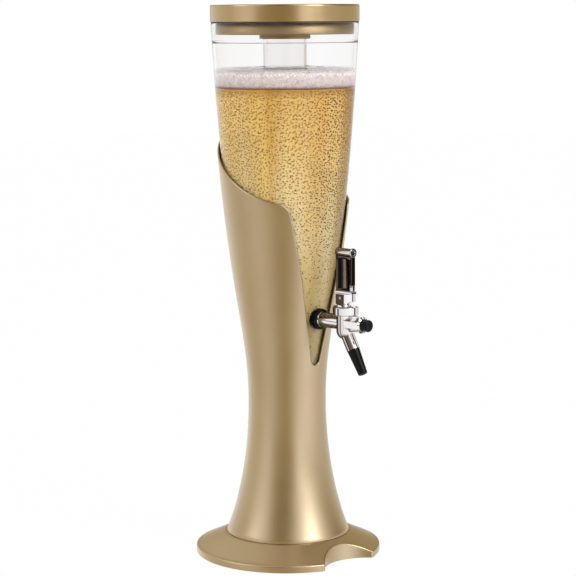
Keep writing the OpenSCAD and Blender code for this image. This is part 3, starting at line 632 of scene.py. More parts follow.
GOLD_SHELL = gold("gold_satin", (0.65, 0.515, 0.335), (0.53, 0.4, 0.23), 0.32, 0.1)
GOLD_LID = gold("gold_gloss", (0.6, 0.45, 0.25), (0.48, 0.34, 0.18), 0.2, 0.06)
# Painted shade: a darker copy of the lid's gold for the skirt and the liner, which the tank's wall
# shades
GOLD_PAINTED_SHADE = gold("gold_gloss_painted_shade", (0.44, 0.315, 0.165), (0.36, 0.25, 0.12), 0.45, 0.06)
CHROME = chrome("chrome_bright", (0.9, 0.89, 0.89))
# Painted reflection: the neck's faces that look along X are painted dark brown
NECK_PAINTED_REFLECTION = [(0.3, 1.0), (0.8, (0.09, 0.055, 0.038))]
CHROME_NECK = chrome("chrome_neck", (0.9, 0.89, 0.89), 0.0, NECK_PAINTED_REFLECTION)
# Painted reflection on the lever's blade: the panel's middle light, its hollowed sides dark and the
# other faces half dark, by how nearly they look along X
BLADE_PAINTED_REFLECTION = [
    (0.0, (0.55, 0.5, 0.45)), (0.3, (0.14, 0.12, 0.1)), (0.9, (0.25, 0.22, 0.2)), (1.0, 1.0),
]
# Smoked chrome of the blade: its own dark tone, with the painted reflection above
DARK_CHROME_PAINTED_REFLECTION = chrome("chrome_smoked_painted_reflection", (0.2, 0.17, 0.14), 0.0, BLADE_PAINTED_REFLECTION)
STEEL = chrome("steel_plain", (0.6, 0.6, 0.6), 0.28)
BLACK = moulded("black_gloss", (0.004, 0.004, 0.0045), 0.12, 900, 0.02, 0.12)
RUBBER = moulded("black_rubber", (0.03, 0.03, 0.032), 0.62)
WHITE = moulded("white_plastic", (0.8, 0.79, 0.75), 0.45)
CLEAR = clear_plastic("clear_plastic", (0.985, 0.983, 0.983), 1.25)
CLEAR_TUBE = clear_plastic("clear_tube", (0.975, 0.973, 0.973), 1.3)
BEER = beer_material()
FOAM = foam_material()
BUBBLE = bubble_material()
FROTH = froth_material()

# ---- column


def rim_z(u):
    """Height of the rim's curve where it stands u in front of the axis."""
    front = flare_r(RIM_FRONT_Z) * cos(RIM_FRONT_TURN)
    back = -flare_r(RIM_BACK_Z)
    t = (front - u) / (front - back)
    if t < 0:
        return RIM_FRONT_Z
    return (1 - t) ** 2 * RIM_FRONT_Z + 2 * t * (1 - t) * RIM_BEND_Z + t * t * RIM_BACK_Z


def rim_on_column(turn):
    """Height of the rim on the column's outside, at an angle from the front."""
    z = RIM_FRONT_Z
    for _ in range(40):
        z = 0.5 * (z + rim_z(flare_r(z) * cos(turn)))
    return z


def rim_beside(w):
    """Height of the rim on the column's outside, w beside the middle plane, near the front."""
    return rim_z(sqrt(flare_r(RIM_FRONT_Z) ** 2 - w * w))


def opening_side():
    """(w, z) points of the right side of the front opening, from its tip to the rim."""
    tip = Vector((0, TIP_Z + TIP_R))
    out = Vector((cos(OPENING_LEAN), -sin(OPENING_LEAN)))
    start = tip + TIP_R * out
    shoulder_w = flare_r(RIM_FRONT_Z) * sin(SHOULDER_TURN)
    rise = (rim_beside(shoulder_w + 0.5 * MM) - rim_beside(shoulder_w - 0.5 * MM)) / MM
    lean = atan(rise)
    down = Vector((sin(lean), -cos(lean)))
    side_gap = start.dot(out) + SHOULDER_R
    rim_gap = Vector((shoulder_w, rim_beside(shoulder_w))).dot(down) + SHOULDER_R
    spread = out.x * down.y - out.y * down.x
    corner = Vector((side_gap * down.y - out.y * rim_gap, out.x * rim_gap - side_gap * down.x)) / spread
    lean_deg, rim_deg = degrees(OPENING_LEAN), degrees(lean)
    tip_arc = arc(tip, TIP_R, -90, -lean_deg, 12)
    bend = arc(corner, SHOULDER_R, 180 - lean_deg, 90 + rim_deg, 16)
    first, last = Vector(tip_arc[-1]), Vector(bend[0])
    line = [tuple(first.lerp(last, i / 60)) for i in range(1, 60)]
    return tip_arc + line + bend


def column_edge():
    """(turn from the front, height) of the column's free edge, all the way round."""
    half = [(asin(w / flare_r(z)), z) for w, z in opening_side()]
    start = half[-1][0]
    steps = 90
    for i in range(1, steps + 1):
        turn = start + (pi - start) * i / steps
        half.append((turn, rim_on_column(turn)))
    return half + [(-turn, z) for turn, z in half[-2:0:-1]]


def on_flare(turn, z, inset=0.0):
    r = flare_r(z) - inset
    return Vector((r * sin(turn), -r * cos(turn), z))


def outward(turn, z):
    """Direction out of the flare's surface."""
    slope = flare_slope(z)
    k = 1 / hypot(1, slope)
    return Vector((sin(turn) * k, -cos(turn) * k, -slope * k))


def turn_of(p):
    return atan2(p.x, -p.y)


def column():
    """Shell of the column, one strip of points for each place on its free edge."""
    edge = column_edge()
    n = len(edge)
    points_on_edge = [on_flare(*e) for e in edge]
    lip_steps, rows = 8, 84
    foot_round = 0.7 * MM
    strips = []
    for i, (turn, z) in enumerate(edge):
        here = points_on_edge[i]
        along = (points_on_edge[(i + 1) % n] - points_on_edge[i - 1]).normalized()
        normal = outward(turn, z)
        free = along.cross(normal).normalized()
        if free.z < 0:
            free = -free
        half = SHELL_WALL / 2 * normal.xy.length
        top = here - half * free
        top_turn = turn_of(top)
        top = on_flare(top_turn, top.z)
        normal = outward(top_turn, top.z)
        centre = top - half * normal
        angles = [pi * k / lip_steps for k in range(lip_steps + 1)]
        lip = [centre + half * (cos(a) * normal + sin(a) * free) for a in angles]
        low_z = DECK_Z + foot_round
        outer = [low_z + (top.z - low_z) * k / rows for k in range(rows)]
        inner = [low_z + (lip[-1].z - low_z) * k / rows for k in range(rows - 1, -1, -1)]
        foot = on_flare(top_turn, low_z)
        inward = Vector((-sin(top_turn), cos(top_turn), 0)) * foot_round
        heel = [foot + inward * (1 - cos(a)) - Vector((0, 0, foot_round * sin(a)))
                for a in (pi / 2, pi / 3, pi / 6)]
        strips.append(
            heel + [on_flare(top_turn, z) for z in outer] + lip
            + [on_flare(top_turn, z, SHELL_WALL) for z in [*inner, DECK_Z]]
        )
    return lofted("column_wall", list(zip(*strips)))


def shelf():
    """Ring shelf that the tank stands on, inside the column."""
    low, hole = SHELF_Z - 3 * MM, 20 * MM
    out_r = flare_r(SHELF_Z) - SHELL_WALL * 0.6
    outline = filleted([(hole, low), (out_r, low), (out_r, SHELF_Z), (hole, SHELF_Z)],
                       [0.6 * MM] * 4, 4)
    return revolved("shelf", outline, 96)


# ---- base


def base_edge():
    """(x, y) round the base plate, with the glass notch and its two rounded corners."""
    reach = BASE_R - NOTCH_CORNER_R
    big, small = NOTCH_R + NOTCH_CORNER_R, NOTCH_Y
    turn = acos((reach**2 + small**2 - big**2) / (2 * reach * small))
    centre = Vector((reach * sin(turn), -reach * cos(turn)))
    to_notch = (Vector((0, -NOTCH_Y)) - centre).normalized()
    notch_from = degrees(atan2(-to_notch.y, -to_notch.x))
    corner_from = degrees(atan2(to_notch.y, to_notch.x))
    corner_to = degrees(atan2(centre.y, centre.x))
    right = arc((0, -NOTCH_Y), NOTCH_R, 90, notch_from, 40)
    while corner_from > corner_to:
        corner_from -= 360
    right += arc(centre, NOTCH_CORNER_R, corner_from, corner_to, 14)[1:]
    right += arc((0, 0), BASE_R, corner_to, 90, 120)[1:]
    return right + [(-x, y) for x, y in right[-2:0:-1]]


def cone_z(r):
    top_r, low_r = CONE_TOP_R, BASE_R - BASE_EDGE_R
    t = max(0.0, min(1.0, (r - top_r) / (low_r - top_r)))
    return DECK_Z + (BASE_RIM_H - DECK_Z) * t


def at(p, z):
    """The point over p at the height z."""
    return Vector((p.x, p.y, z))


def base():
    """Skin of the base plate: deck, cone, rounded edge, wall and the hollow underside."""
    edge = base_edge()
    n = len(edge)
    lip, toe = 1.7 * MM, 0.8 * MM
    steps = 14
    strips = []
    for i, (x, y) in enumerate(edge):
        here = Vector((x, y))
        along = Vector(edge[(i + 1) % n]) - Vector(edge[i - 1])
        out = Vector((along.y, -along.x)).normalized()
        if out.dot(here) < 0 and here.length > BASE_R - NOTCH_CORNER_R:
            out = -out
        inner = here - out * lip
        edge_z, drop_z = cone_z(here.length), cone_z(inner.length)
        line_in = inner.normalized()
        start = line_in * CONE_TOP_R
        strip = [at(line_in * DECK_EDGE_R, DECK_Z), at(line_in * (CONE_TOP_R - 0.4 * MM), DECK_Z)]
        for k in range(steps + 1):
            p = start.lerp(inner, k / steps)
            strip.append(at(p, cone_z(p.length)))
        for k in range(1, 7):
            a = pi / 2 * k / 6
            z = drop_z - lip * (1 - cos(a)) + (edge_z - drop_z) * sin(a) * 0.35
            strip.append(at(inner + out * lip * sin(a), z))
        wall_top = strip[-1].z
        for k in range(1, 4):
            strip.append(at(here, wall_top + (BASE_BOTTOM_Z + toe - wall_top) * k / 3))
        for k in range(1, 4):
            a = pi / 2 * k / 3
            strip.append(at(here - out * toe * (1 - cos(a)), BASE_BOTTOM_Z + toe * (1 - sin(a))))
        under = here - out * BASE_WALL
        roof = max(cone_z(here.length) - BASE_WALL, BASE_BOTTOM_Z + 3 * MM)
        deck_under = DECK_Z - BASE_WALL
        strip += [at(under, BASE_BOTTOM_Z), at(under, roof), at(start, deck_under),
                  at(line_in * DECK_EDGE_R, deck_under)]
        strips.append(strip)
    return lofted("base_skin", list(zip(*strips)))


def base_inside():
    """Deck disc, ribs and the ring that carries the rubber foot, under the skin."""
    deck_r = DECK_EDGE_R + 0.5 * MM
    low = DECK_Z - BASE_WALL
    pieces = [revolved("deck", [(0.0, low), (deck_r, low), (deck_r, DECK_Z), (0.0, DECK_Z)], 96)]
    count = 12
    for i in range(count):
        a = tau * (i + 0.5) / count
        if abs(sin(a) + 1) < 0.08:
            continue
        reach = FOOT_R + 4 * MM if sin(a) < -0.8 else BASE_R - 6 * MM
        across, line = Vector((-sin(a), cos(a))) * MM, Vector((cos(a), sin(a)))
        low_z, deck_z = BASE_BOTTOM_Z + 1.5 * MM, DECK_Z - 1 * MM
        end_z = min(DECK_Z, cone_z(reach)) - 1.5 * MM
        corners = [
            at(line * r + across * side, z)
            for r, top in ((FOOT_R / 4, deck_z), (FOOT_R - 1 * MM, deck_z), (reach, end_z))
            for side, z in ((-1, low_z), (-1, top), (1, top), (1, low_z))
        ]
        faces = grid_faces(3, 4, closed=False) + [(0, 1, 2, 3), (8, 9, 10, 11)]
        pieces.append(mesh_object("rib", corners, faces, smooth=False))
    return pieces


# ---- tank and tube


def tank():
    low_z, top, lip = TANK_LOW.z, TANK_HIGH.z, 0.7 * MM
    foot_z, floor_top = low_z + TANK_FOOT_R, low_z + TANK_FLOOR
    low_r = flare_r(foot_z) - TANK_INSET
    rim_inset, inner = TANK_INSET + TANK_RIM_WALL, TANK_INSET + TANK_WALL
    outline = [(0.0, low_z), (low_r - TANK_FOOT_R * 2, low_z)]
    outline += arc((low_r - TANK_FOOT_R, foot_z), TANK_FOOT_R, -90, 0, 6)
    outline += flare_line(foot_z, top - lip, TANK_INSET, 90)[1:]
    rim_out, rim_in = flare_r(top) - TANK_INSET, flare_r(top) - rim_inset
    outline += arc((rim_out - lip, top - lip), lip, 0, 90, 4)[1:]
    outline += arc((rim_in + lip, top - lip), lip, 90, 180, 4)
    outline += flare_line(top - 2 * lip, LEDGE_Z + lip, rim_inset, 8)
    outline += [(flare_r(LEDGE_Z) - rim_inset - 0.25 * MM, LEDGE_Z + 0.15 * MM)]
    outline += arc((flare_r(LEDGE_Z) - inner + lip, LEDGE_Z - lip), lip, 90, 180, 4)
    outline += flare_line(LEDGE_Z - 2 * lip, floor_top + TANK_FOOT_R, inner, 90)
    low_in = flare_r(floor_top) - inner - TANK_FOOT_R
    outline += arc((low_in, floor_top + TANK_FOOT_R), TANK_FOOT_R, 0, -90, 6)[1:]
    return revolved("tank_clear", outline + [(0.0, floor_top)], 192)


def boss():
    """Flat round boss on the tank's front, that the tap's flange seats on."""
    boss_u = flare_r(TAP_Z) - TANK_INSET + 0.2 * MM
    rings, count = 6, 64
    hole = 7.8 * MM
    front, back = [], []
    for i in range(rings + 1):
        r = hole + (BOSS_R - hole) * i / rings
        ease = 0.4 * MM if i == rings else 0.0
        front.append([])
        back.append([])
        for j in range(count):
            a = tau * j / count
            w, z = r * cos(a), TAP_Z + r * sin(a)
            wall_u = sqrt((flare_r(z) - TANK_INSET) ** 2 - w * w)
            front[i].append((w, -(boss_u - ease), z))
            back[i].append((w, -(min(wall_u, boss_u - 0.6 * MM) - 0.3 * MM), z))
    return lofted("tank_boss", front + back[::-1])


def ice_tube():
    centre, top = (0.0, TUBE_ROUND_Z), TUBE_HIGH.z
    length = top - TUBE_ROUND_Z
    in_r = TUBE_R - TUBE_WALL
    outline = arc(centre, TUBE_R, -90, 0, 20)
    outline += [(TUBE_R, TUBE_ROUND_Z + length * k / 12) for k in range(1, 13)]
    outline += [(in_r, top - length * k / 12) for k in range(12)]
    outline += arc(centre, in_r, 0, -90, 20)
    return revolved("ice_tube_clear", outline, 96)


def beer():
    """The liquid, round the ice tube."""
    low = TANK_LOW.z + TANK_FLOOR - WETTING
    foot_z = low + TANK_FOOT_R
    outline = [(0.0, low)]
    outline += arc((content_r(low) - TANK_FOOT_R, foot_z), TANK_FOOT_R, -90, 0, 5)
    inset = TANK_INSET + TANK_WALL - WETTING
    outline += flare_line(foot_z, BEER_TOP_Z - 1 * MM, inset, 80)[1:]
    outline += [(content_r(BEER_TOP_Z) - 0.2 * MM, BEER_TOP_Z), (HOLE_R + 1 * MM, BEER_TOP_Z)]
    outline += [(HOLE_R, BEER_TOP_Z - (BEER_TOP_Z - TUBE_ROUND_Z) * k / 10) for k in range(10)]
    outline += arc((0.0, TUBE_ROUND_Z), HOLE_R, 0, -90, 20)
    return revolved("beer", outline, 160)


def foam(rng):
    """Layer of foam on the beer, lumpy on top."""
    segments, side_steps, top_steps = 160, 5, 12
    low = BEER_TOP_Z + 0.05 * MM
    waves = [(rng.randint(3, 24), rng.uniform(0, 6.28), rng.uniform(0.1, 0.45)) for _ in range(9)]
    strips = []
    for j in range(segments):
        a = tau * j / segments
        crest = FOAM_TOP_Z + sum(h * sin(m * a + p) for m, p, h in waves) * 0.6 * MM
        rim = content_r(crest)
        strip = []
        for k in range(side_steps + 1):
            z = low + (crest - 0.6 * MM - low) * (k / side_steps)
            strip.append((content_r(z), z))
        for k in range(1, top_steps + 1):
            t = k / top_steps
            z = crest - 1.2 * MM * sin(pi * t) + 0.5 * MM * sin(9 * a + 20 * t)
            strip.append((rim + (HOLE_R - rim) * t, min(z, crest + 0.3 * MM)))
        strip.append((HOLE_R, low))
        strips.append([(r * sin(a), -r * cos(a), z) for r, z in strip])
    return lofted("foam", list(zip(*strips)))


def balls(name, places):
    """One mesh of many small round balls, each given by a matrix."""
    work = bmesh.new()
    bmesh.ops.create_icosphere(work, subdivisions=1, radius=1.0)
    work.verts.ensure_lookup_table()
    ball_points = [v.co.copy() for v in work.verts]
    ball_faces = [[v.index for v in f.verts] for f in work.faces]
    work.free()
    points, faces = [], []
    for matrix in places:
        start = len(points)
        points += [matrix @ p for p in ball_points]
        faces += [[start + i for i in face] for face in ball_faces]
    mesh = bpy.data.meshes.new(name)
    mesh.from_pydata(points, [], faces)
    mesh.polygons.foreach_set("use_smooth", [True] * len(faces))
    return new_object(name, mesh)


def on_wall(turn, z, size, stretch=1.0, tilt=0.0):
    """Matrix of a flat bubble on the inside of the tank's wall."""
    r = content_r(z)
    return (
        Matrix.Translation((r * sin(turn), -r * cos(turn), z))
        @ Matrix.Rotation(turn, 4, "Z")
        @ Matrix.Rotation(tilt, 4, "Y")
        @ Matrix.Diagonal((size * stretch, 0.3 * MM, size, 1))
    )


def beer_bubbles(rng):
    """Bubbles that rise along the tank's wall, evenly spread, fewer toward the bottom."""
    low = TANK_LOW.z + 12 * MM
    top = BEER_TOP_Z - 1.5 * MM
    across, up = 3.1 * MM, 2.75 * MM
    places = []
    z = low
    while z < top:
        share = (z - low) / (top - low)
        count = int(tau * content_r(z) / across)
        for i in range(count):
            turn = tau * (i + rng.uniform(-0.4, 0.4)) / count
            height = min(top, z + rng.uniform(-0.45, 0.45) * up)
            size = rng.uniform(0.6, 0.95) * (0.58 + 0.42 * share) * MM
            stretch = rng.uniform(1.2, 1.9)
            tilt = rng.gauss(0, 0.5)
            if rng.random() < 0.04 + min(0.96, 2.7 * share**1.7):
                places.append(on_wall(turn, height, size, stretch, tilt))
        z += up
    return balls("beer_bubbles", places)


def froth(rng):
    """White bubbles in the foam: a row of large ones near its top, and small ones all over."""
    places = []
    count = 110
    for i in range(count):
        turn = tau * (i + rng.uniform(-0.3, 0.3)) / count
        z = FOAM_FADE_Z - 1 * MM + rng.gauss(0, 0.5) * MM
        places.append(on_wall(turn, z, rng.uniform(0.65, 1.1) * MM))
    for _ in range(420):
        z = rng.uniform(BEER_TOP_Z + 2 * MM, FOAM_FADE_Z + 1 * MM)
        places.append(on_wall(rng.uniform(0, tau), z, rng.uniform(0.25, 0.4) * MM))
    return balls("foam_froth", places)


# ---- lid


def lid():
    lid_r, under = LID_HIGH.x, TOWER_H - LID_WALL
    dish_r, dish_z = SKIRT_R - 6 * MM, TOWER_H - 0.8 * MM
    outline = [
        (dish_r, dish_z), (dish_r + 0.8 * MM, TOWER_H), (lid_r, TOWER_H), (lid_r, MOUTH_Z),
        (SKIRT_R - LID_WALL, MOUTH_Z), (SKIRT_R - LID_WALL, under), (dish_r, under),
    ]
    radii = [0.6 * MM, 0.8 * MM, LID_EDGE_R, 0.35 * MM, 0, 0.4 * MM, 0]
    shell = revolved("lid_shell", filleted(outline, radii, 6), 192)
    disc = [(0.0, under), (dish_r, under), (dish_r, dish_z), (0.0, dish_z)]
    return joined("lid_cap_moulding", [shell, revolved("lid_disc", disc, 192)])


def lid_skirt():
    """Ring under the lid that reaches into the tank."""
    in_r, low, top = SKIRT_R - LID_WALL, LID_LOW.z, MOUTH_Z + 0.5 * MM
    outline = [(SKIRT_R, top), (SKIRT_R, low), (in_r, low), (in_r, top)]
    return revolved("lid_skirt", filleted(outline, [0, LID_EDGE_R, 0.5 * MM, 0], 6), 192)


# ---- lever

HANDLE_LOW, HANDLE_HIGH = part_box("lever_handle")
LEVER_Y = (HANDLE_LOW.y + HANDLE_HIGH.y) / 2
NECK_TOP_Z = TAP_Z + 30 * MM
BAR_Z = TAP_Z + 71.7 * MM
BAR_R = 4 * MM
BAR_L = 22.5 * MM
BLADE_L = 22.2 * MM
BLADE_T = 5.9 * MM
FOOT_PLATE_T = 2.4 * MM


def rounded_box(name, width, y_range, z_range, rounding):
    """A box across the middle plane, with its edges rounded."""
    low, high = (Vector((x, *ends)) for x, *ends in zip((-width / 2, width / 2), y_range, z_range))
    work = bmesh.new()
    bmesh.ops.create_cube(work, size=1.0)
    for vert in work.verts:
        share = vert.co + Vector((0.5, 0.5, 0.5))
        vert.co = low + share * (high - low)
    edges = work.edges[:]
    bmesh.ops.bevel(work, geom=edges, offset=rounding, segments=3, profile=0.5, affect="EDGES")
    for face in work.faces:
        face.smooth = True
    obj = finished(work, bpy.data.meshes.new(name))
    normals = obj.modifiers.new("normals", "WEIGHTED_NORMAL")
    normals.weight = 80
    return with_modifiers(obj)


def lever_blade():
    """Blade with a sunk, hollowed panel with an arched top in each side."""
    border, post, depth, hollow, edge = 1.1 * MM, 1.9 * MM, 0.8 * MM, 1.3 * MM, 0.45 * MM
    half_l = BLADE_L / 2
    box = (-half_l, half_l, NECK_TOP_Z + 0.2 * MM, BAR_Z)
    panel = (-half_l + border, half_l - post, NECK_TOP_Z + FOOT_PLATE_T + 0.8 * MM, BAR_Z - 5 * MM)
    arch, slope = 2.2 * MM, 0.2 * MM
    middle = Vector(((panel[0] + panel[1]) / 2, (panel[2] + panel[3]) / 2))
    angles = {radians(a + 0.5) for a in range(-180, 180, 5)}
    for sides in (box, panel):
        angles |= {atan2(z - middle.y, u - middle.x) for u in sides[:2] for z in sides[2:]}
    angles = sorted(angles)

    def on_edge(angle, sides, inset, crown=0.0):
        """Where a line from the panel's middle leaves a rectangle."""
        way = Vector((cos(angle), sin(angle)))
        reach = [1.0]
        for axis, (low, high) in enumerate((sides[:2], sides[2:])):
            if abs(way[axis]) > 1e-9:
                side = high - inset if way[axis] > 0 else low + inset
                reach.append((side - middle[axis]) / way[axis])
        spot = middle + way * min(reach)
        if spot.y > sides[3] - inset - 0.01 * MM:
            across = (spot.x - middle.x) / ((sides[1] - sides[0]) / 2)
            spot.y -= crown * across * across
        return spot

    top = BLADE_T / 2
    half = (panel[1] - panel[0]) / 2
    rings = [
        (box, 0.0, 0.0, 0.0),
        (box, 0.0, 0.0, top - slope - edge),
        (box, 0.3 * edge, 0.0, top - slope - 0.3 * edge),
        (box, edge, 0.0, top - slope),
        (panel, -0.3 * edge, arch, top),
        (panel, 0.0, arch, top - 0.3 * edge),
    ]
    rows = [[(on_edge(a, *ring), w) for a in angles] for *ring, w in rings]
    for scale in (0.97, 0.86, 0.72, 0.56, 0.4, 0.24, 0.08):
        row = []
        for a in angles:
            spot = middle + (on_edge(a, panel, 0.0, arch) - middle) * scale
            across = (spot.x - middle.x) / half
            row.append((spot, top - depth - hollow * (1 - across * across)))
        rows.append(row)
    rows = [[(spot, -w) for spot, w in row] for row in rows[:0:-1]] + rows
    points = [(w, LEVER_Y - spot.x, spot.y) for row in rows for spot, w in row]
    count = len(angles)
    faces = grid_faces(len(rows), count, closed=False)
    faces += [tuple(range(count)), tuple(len(points) - 1 - i for i in range(count))]
    obj = mesh_object("lever_blade", points, faces)
    obj.modifiers.new("normals", "WEIGHTED_NORMAL").weight = 60
    return with_modifiers(obj)


def lever_bar():
    """Cross bar with a disc on its front end, the plate under the blade and its heel."""
    disc_r, disc_t, edge = BAR_R + 0.75 * MM, 1.6 * MM, 0.6 * MM
    neck = BAR_L - disc_t
    outline = [(0.0, 0.0), (BAR_R, 0.0), (BAR_R, neck), (disc_r, neck), (disc_r, BAR_L),
               (2.6 * MM, BAR_L), (2.2 * MM, BAR_L - 0.5 * MM), (0.0, BAR_L - 0.5 * MM)]
    radii = [0, edge, 0.15 * MM, 0.4 * MM, 0.5 * MM, 0.15 * MM, 0.15 * MM, 0]
    bar = revolved("lever_bar", filleted(outline, radii, 5), 64)
    lying = Matrix.Rotation(pi / 2, 4, "X")
    bar.data.transform(Matrix.Translation((0, LEVER_Y + BAR_L / 2, BAR_Z)) @ lying)
    plate_top, front = NECK_TOP_Z + FOOT_PLATE_T, LEVER_Y - BLADE_L / 2
    reach = BLADE_L / 2 + 0.6 * MM
    plate = rounded_box("lever_plate", BLADE_T + 2 * MM, (LEVER_Y - reach, LEVER_Y + reach),
                        (NECK_TOP_Z, plate_top), 0.5 * MM)
    heel = rounded_box("lever_heel", BLADE_T + 0.5 * MM, (front - 0.3 * MM, front + 3.6 * MM),
                       (plate_top - 0.4 * MM, NECK_TOP_Z + 9.5 * MM), 1.7 * MM)
    return joined("lever_bar_finished", [bar, plate, heel])


# ---- pieces on their bodies

place(joined("column_moulding", [column(), shelf()]), "stand", "gold_shell", GOLD_SHELL,
      ["column_shell"])
place(joined("base_moulding", [base()] + base_inside()), "stand", "gold_shell", GOLD_SHELL,
      ["base_plate"])
place(tank(), "tank_unit", "clear_plastic", CLEAR, ["tank"])
place(boss(), "tank_unit", "clear_plastic", CLEAR)
place(ice_tube(), "lid_unit", "clear_plastic", CLEAR_TUBE, ["ice_tube"])
place(lid(), "lid_unit", "gold_lid", GOLD_LID, ["lid_cap"])
# The skirt gets the darker copy of the lid's gold, as painted shade
place(lid_skirt(), "lid_unit", "gold_lid", GOLD_PAINTED_SHADE)
place(lever_blade(), "lever", "dark_chrome", DARK_CHROME_PAINTED_REFLECTION, ["lever_handle"])
place(lever_bar(), "lever", "dark_chrome", CHROME)

draw = random.Random(5887)
place(beer(), "tank_unit", "clear_plastic", BEER)
place(foam(draw), "tank_unit", "clear_plastic", FOAM)
place(beer_bubbles(draw), "tank_unit", "clear_plastic", BUBBLE)
place(froth(draw), "tank_unit", "clear_plastic", FROTH)

# CAD nodes with rounded edges: piece, body, slot, material and the edge's width
SOFTENED = {
    "tap_flange": ("tank_unit", "black_plastic", BLACK, 0.3),
    "tap_shank": ("tank_unit", "chrome_plate", CHROME, 0.3),
    "tap_body": ("tank_unit", "chrome_plate", CHROME, 0.35),
    "bonnet_nut": ("tank_unit", "chrome_plate", CHROME, 0.35),
    "spout_nozzle": ("tank_unit", "black_plastic", BLACK, 0.3),
    "lever_neck": ("lever", "chrome_plate", CHROME_NECK, 0.4),
    "piston": ("piston_unit", "black_plastic", BLACK, 0.3),
    "shank_nut": ("tank_unit", "chrome_plate", CHROME, 0.4),
}
for node, (body, slot, material, width) in SOFTENED.items():
    place(softened_copy(node, node + "_finished", width * MM), body, slot, material, [node])

# CAD nodes that keep their own mesh
PLAIN = {
    "foot_ring": RUBBER, "base_screws": STEEL, "tank_pad": RUBBER, "inner_gasket": RUBBER,
    "ball_ring": WHITE, "nozzle_ring": RUBBER, "lever_pin": STEEL, "piston_rings": RUBBER,
    "lid_liner": GOLD_PAINTED_SHADE, "lid_seal": RUBBER, "tube_collar": CLEAR_TUBE, "tube_seal": RUBBER,
}
for node, material in PLAIN.items():
    mesh = NODES[node].data
    mesh.materials.clear()
    mesh.materials.append(material)

# ---- stage, light and camera

VIEW_PITCH = radians(7.9)
VIEW_ROLL = radians(-0.36)
VIEW_DISTANCE = 2.0
VIEW_HEIGHT = 0.5563
FOCAL_PIXELS, FRAME_PIXELS, SENSOR = 1945.0, 576.0, 36.0
AIM = -0.045  # degrees that the camera turns past the tower's axis
FLOOR_REACH = 6.0
FLOOR_GLOW = 0.985  # the rest of the floor's look is its lit surface, with the shadow
PLAIN_LIGHT = 0.62  # on matt surfaces
INSIDE_LIGHT = 2.5  # on matt surfaces behind a clear wall
LAMP_AIM_Z = 0.28


def camera():
    data = bpy.data.cameras.new("camera")
    data.sensor_width = SENSOR
    data.lens = FOCAL_PIXELS / FRAME_PIXELS * SENSOR
    data.clip_start, data.clip_end = 0.05, 60
    obj = new_object("camera", data)
    spot = Vector((-cos(VIEW_TURN), -sin(VIEW_TURN), 0)) * VIEW_DISTANCE
    spot.z = VIEW_HEIGHT
    turn = VIEW_TURN - pi / 2 + radians(AIM)
    obj.matrix_world = (
        Matrix.Translation(spot)
        @ Matrix.Rotation(turn, 4, "Z")
        @ Matrix.Rotation(pi / 2 - VIEW_PITCH, 4, "X")
        @ Matrix.Rotation(VIEW_ROLL, 4, "Z")
    )
    SCENE.camera = obj


def mirror_share(net, path):
    """1 for rays that a metal or glossy face sent on, but not inside a clear wall."""
    sent_on = net.math("GREATER_THAN", path["Glossy Depth"], 0.5)
    crossed = net.math("SUBTRACT", path["Transmission Depth"], 2.0)
    outside = net.math("GREATER_THAN", net.math("ABSOLUTE", crossed), 1.5)
    return net.math("MULTIPLY", sent_on, outside)


def floor():
    """White table top: it keeps a faint shadow, and mirrors see past it into the studio."""
    mesh = bpy.data.meshes.new("floor")
    r = FLOOR_REACH
    mesh.from_pydata([(-r, -r, 0), (r, -r, 0), (r, r, 0), (-r, r, 0)], [], [(0, 1, 2, 3)])
    obj = new_object("floor", mesh)
    obj.location.z = -0.0002
    t = Tree("floor_white")
    tone = t.ramp(t.noise(3, 2), [(0.0, 0.86), (1.0, 0.9)])
    t.set(Base_Color=tone, Roughness=0.9, Specular_IOR_Level=0.1)
    path = t.path()
    glow = t.add("Emission", Color=(1, 1, 1, 1), Strength=1.0)
    looked_at = t.math("MAXIMUM", path["Is Camera Ray"], path["Is Transmission Ray"])
    lit = t.mixed_shaders(t.math("MULTIPLY", looked_at, FLOOR_GLOW), t.shader, glow)
    t.end(Surface=t.mixed_shaders(mirror_share(t, path), lit, t.clear()))
    mesh.materials.append(t.material)


# What polished pieces mirror below the horizon, level with it, and above:
# brightness by degrees round from the camera's side toward the tap's
STUDIO_LOW = {
    -180: 1.1, -140: 1.05, -124: 0.78, -104: 0.66, -90: 0.63, -74: 0.69, -55: 0.77, -40: 0.71,
    -27: 0.57, -13: 0.43, -2: 0.41, 10: 0.52, 20: 0.66, 32: 0.86, 48: 1.08, 60: 1.2, 76: 1.08,
    94: 0.88, 120: 0.74, 150: 0.85, 180: 1.1,
}
STUDIO_LEVEL = {
    -180: 0.42, -150: 0.88, -120: 0.82, -89: 0.7, -72: 0.84, -59: 0.98, -50: 0.84, -40: 0.46,
    -30: 0.37, 0: 0.36, 12: 0.38, 20: 0.72, 27: 1.3, 39: 1.25, 46: 0.7, 56: 0.48, 75: 0.5,
    95: 0.56, 140: 0.6, 160: 0.7, 180: 0.42,
}
STUDIO_HIGH = {
    -180: 0.37, -164: 0.52, -150: 0.7, -136: 0.78, -112: 0.6, -92: 0.64, -76: 0.78, -60: 1.04,
    -48: 1.0, -37: 0.5, -25: 0.26, -10: 0.16, 2: 0.21, 13: 0.52, 25: 1.1, 37: 1.6, 50: 1.8,
    64: 1.5, 79: 0.8, 95: 0.34, 112: 0.12, 136: 0.17, 154: 0.45, 180: 0.37,
}


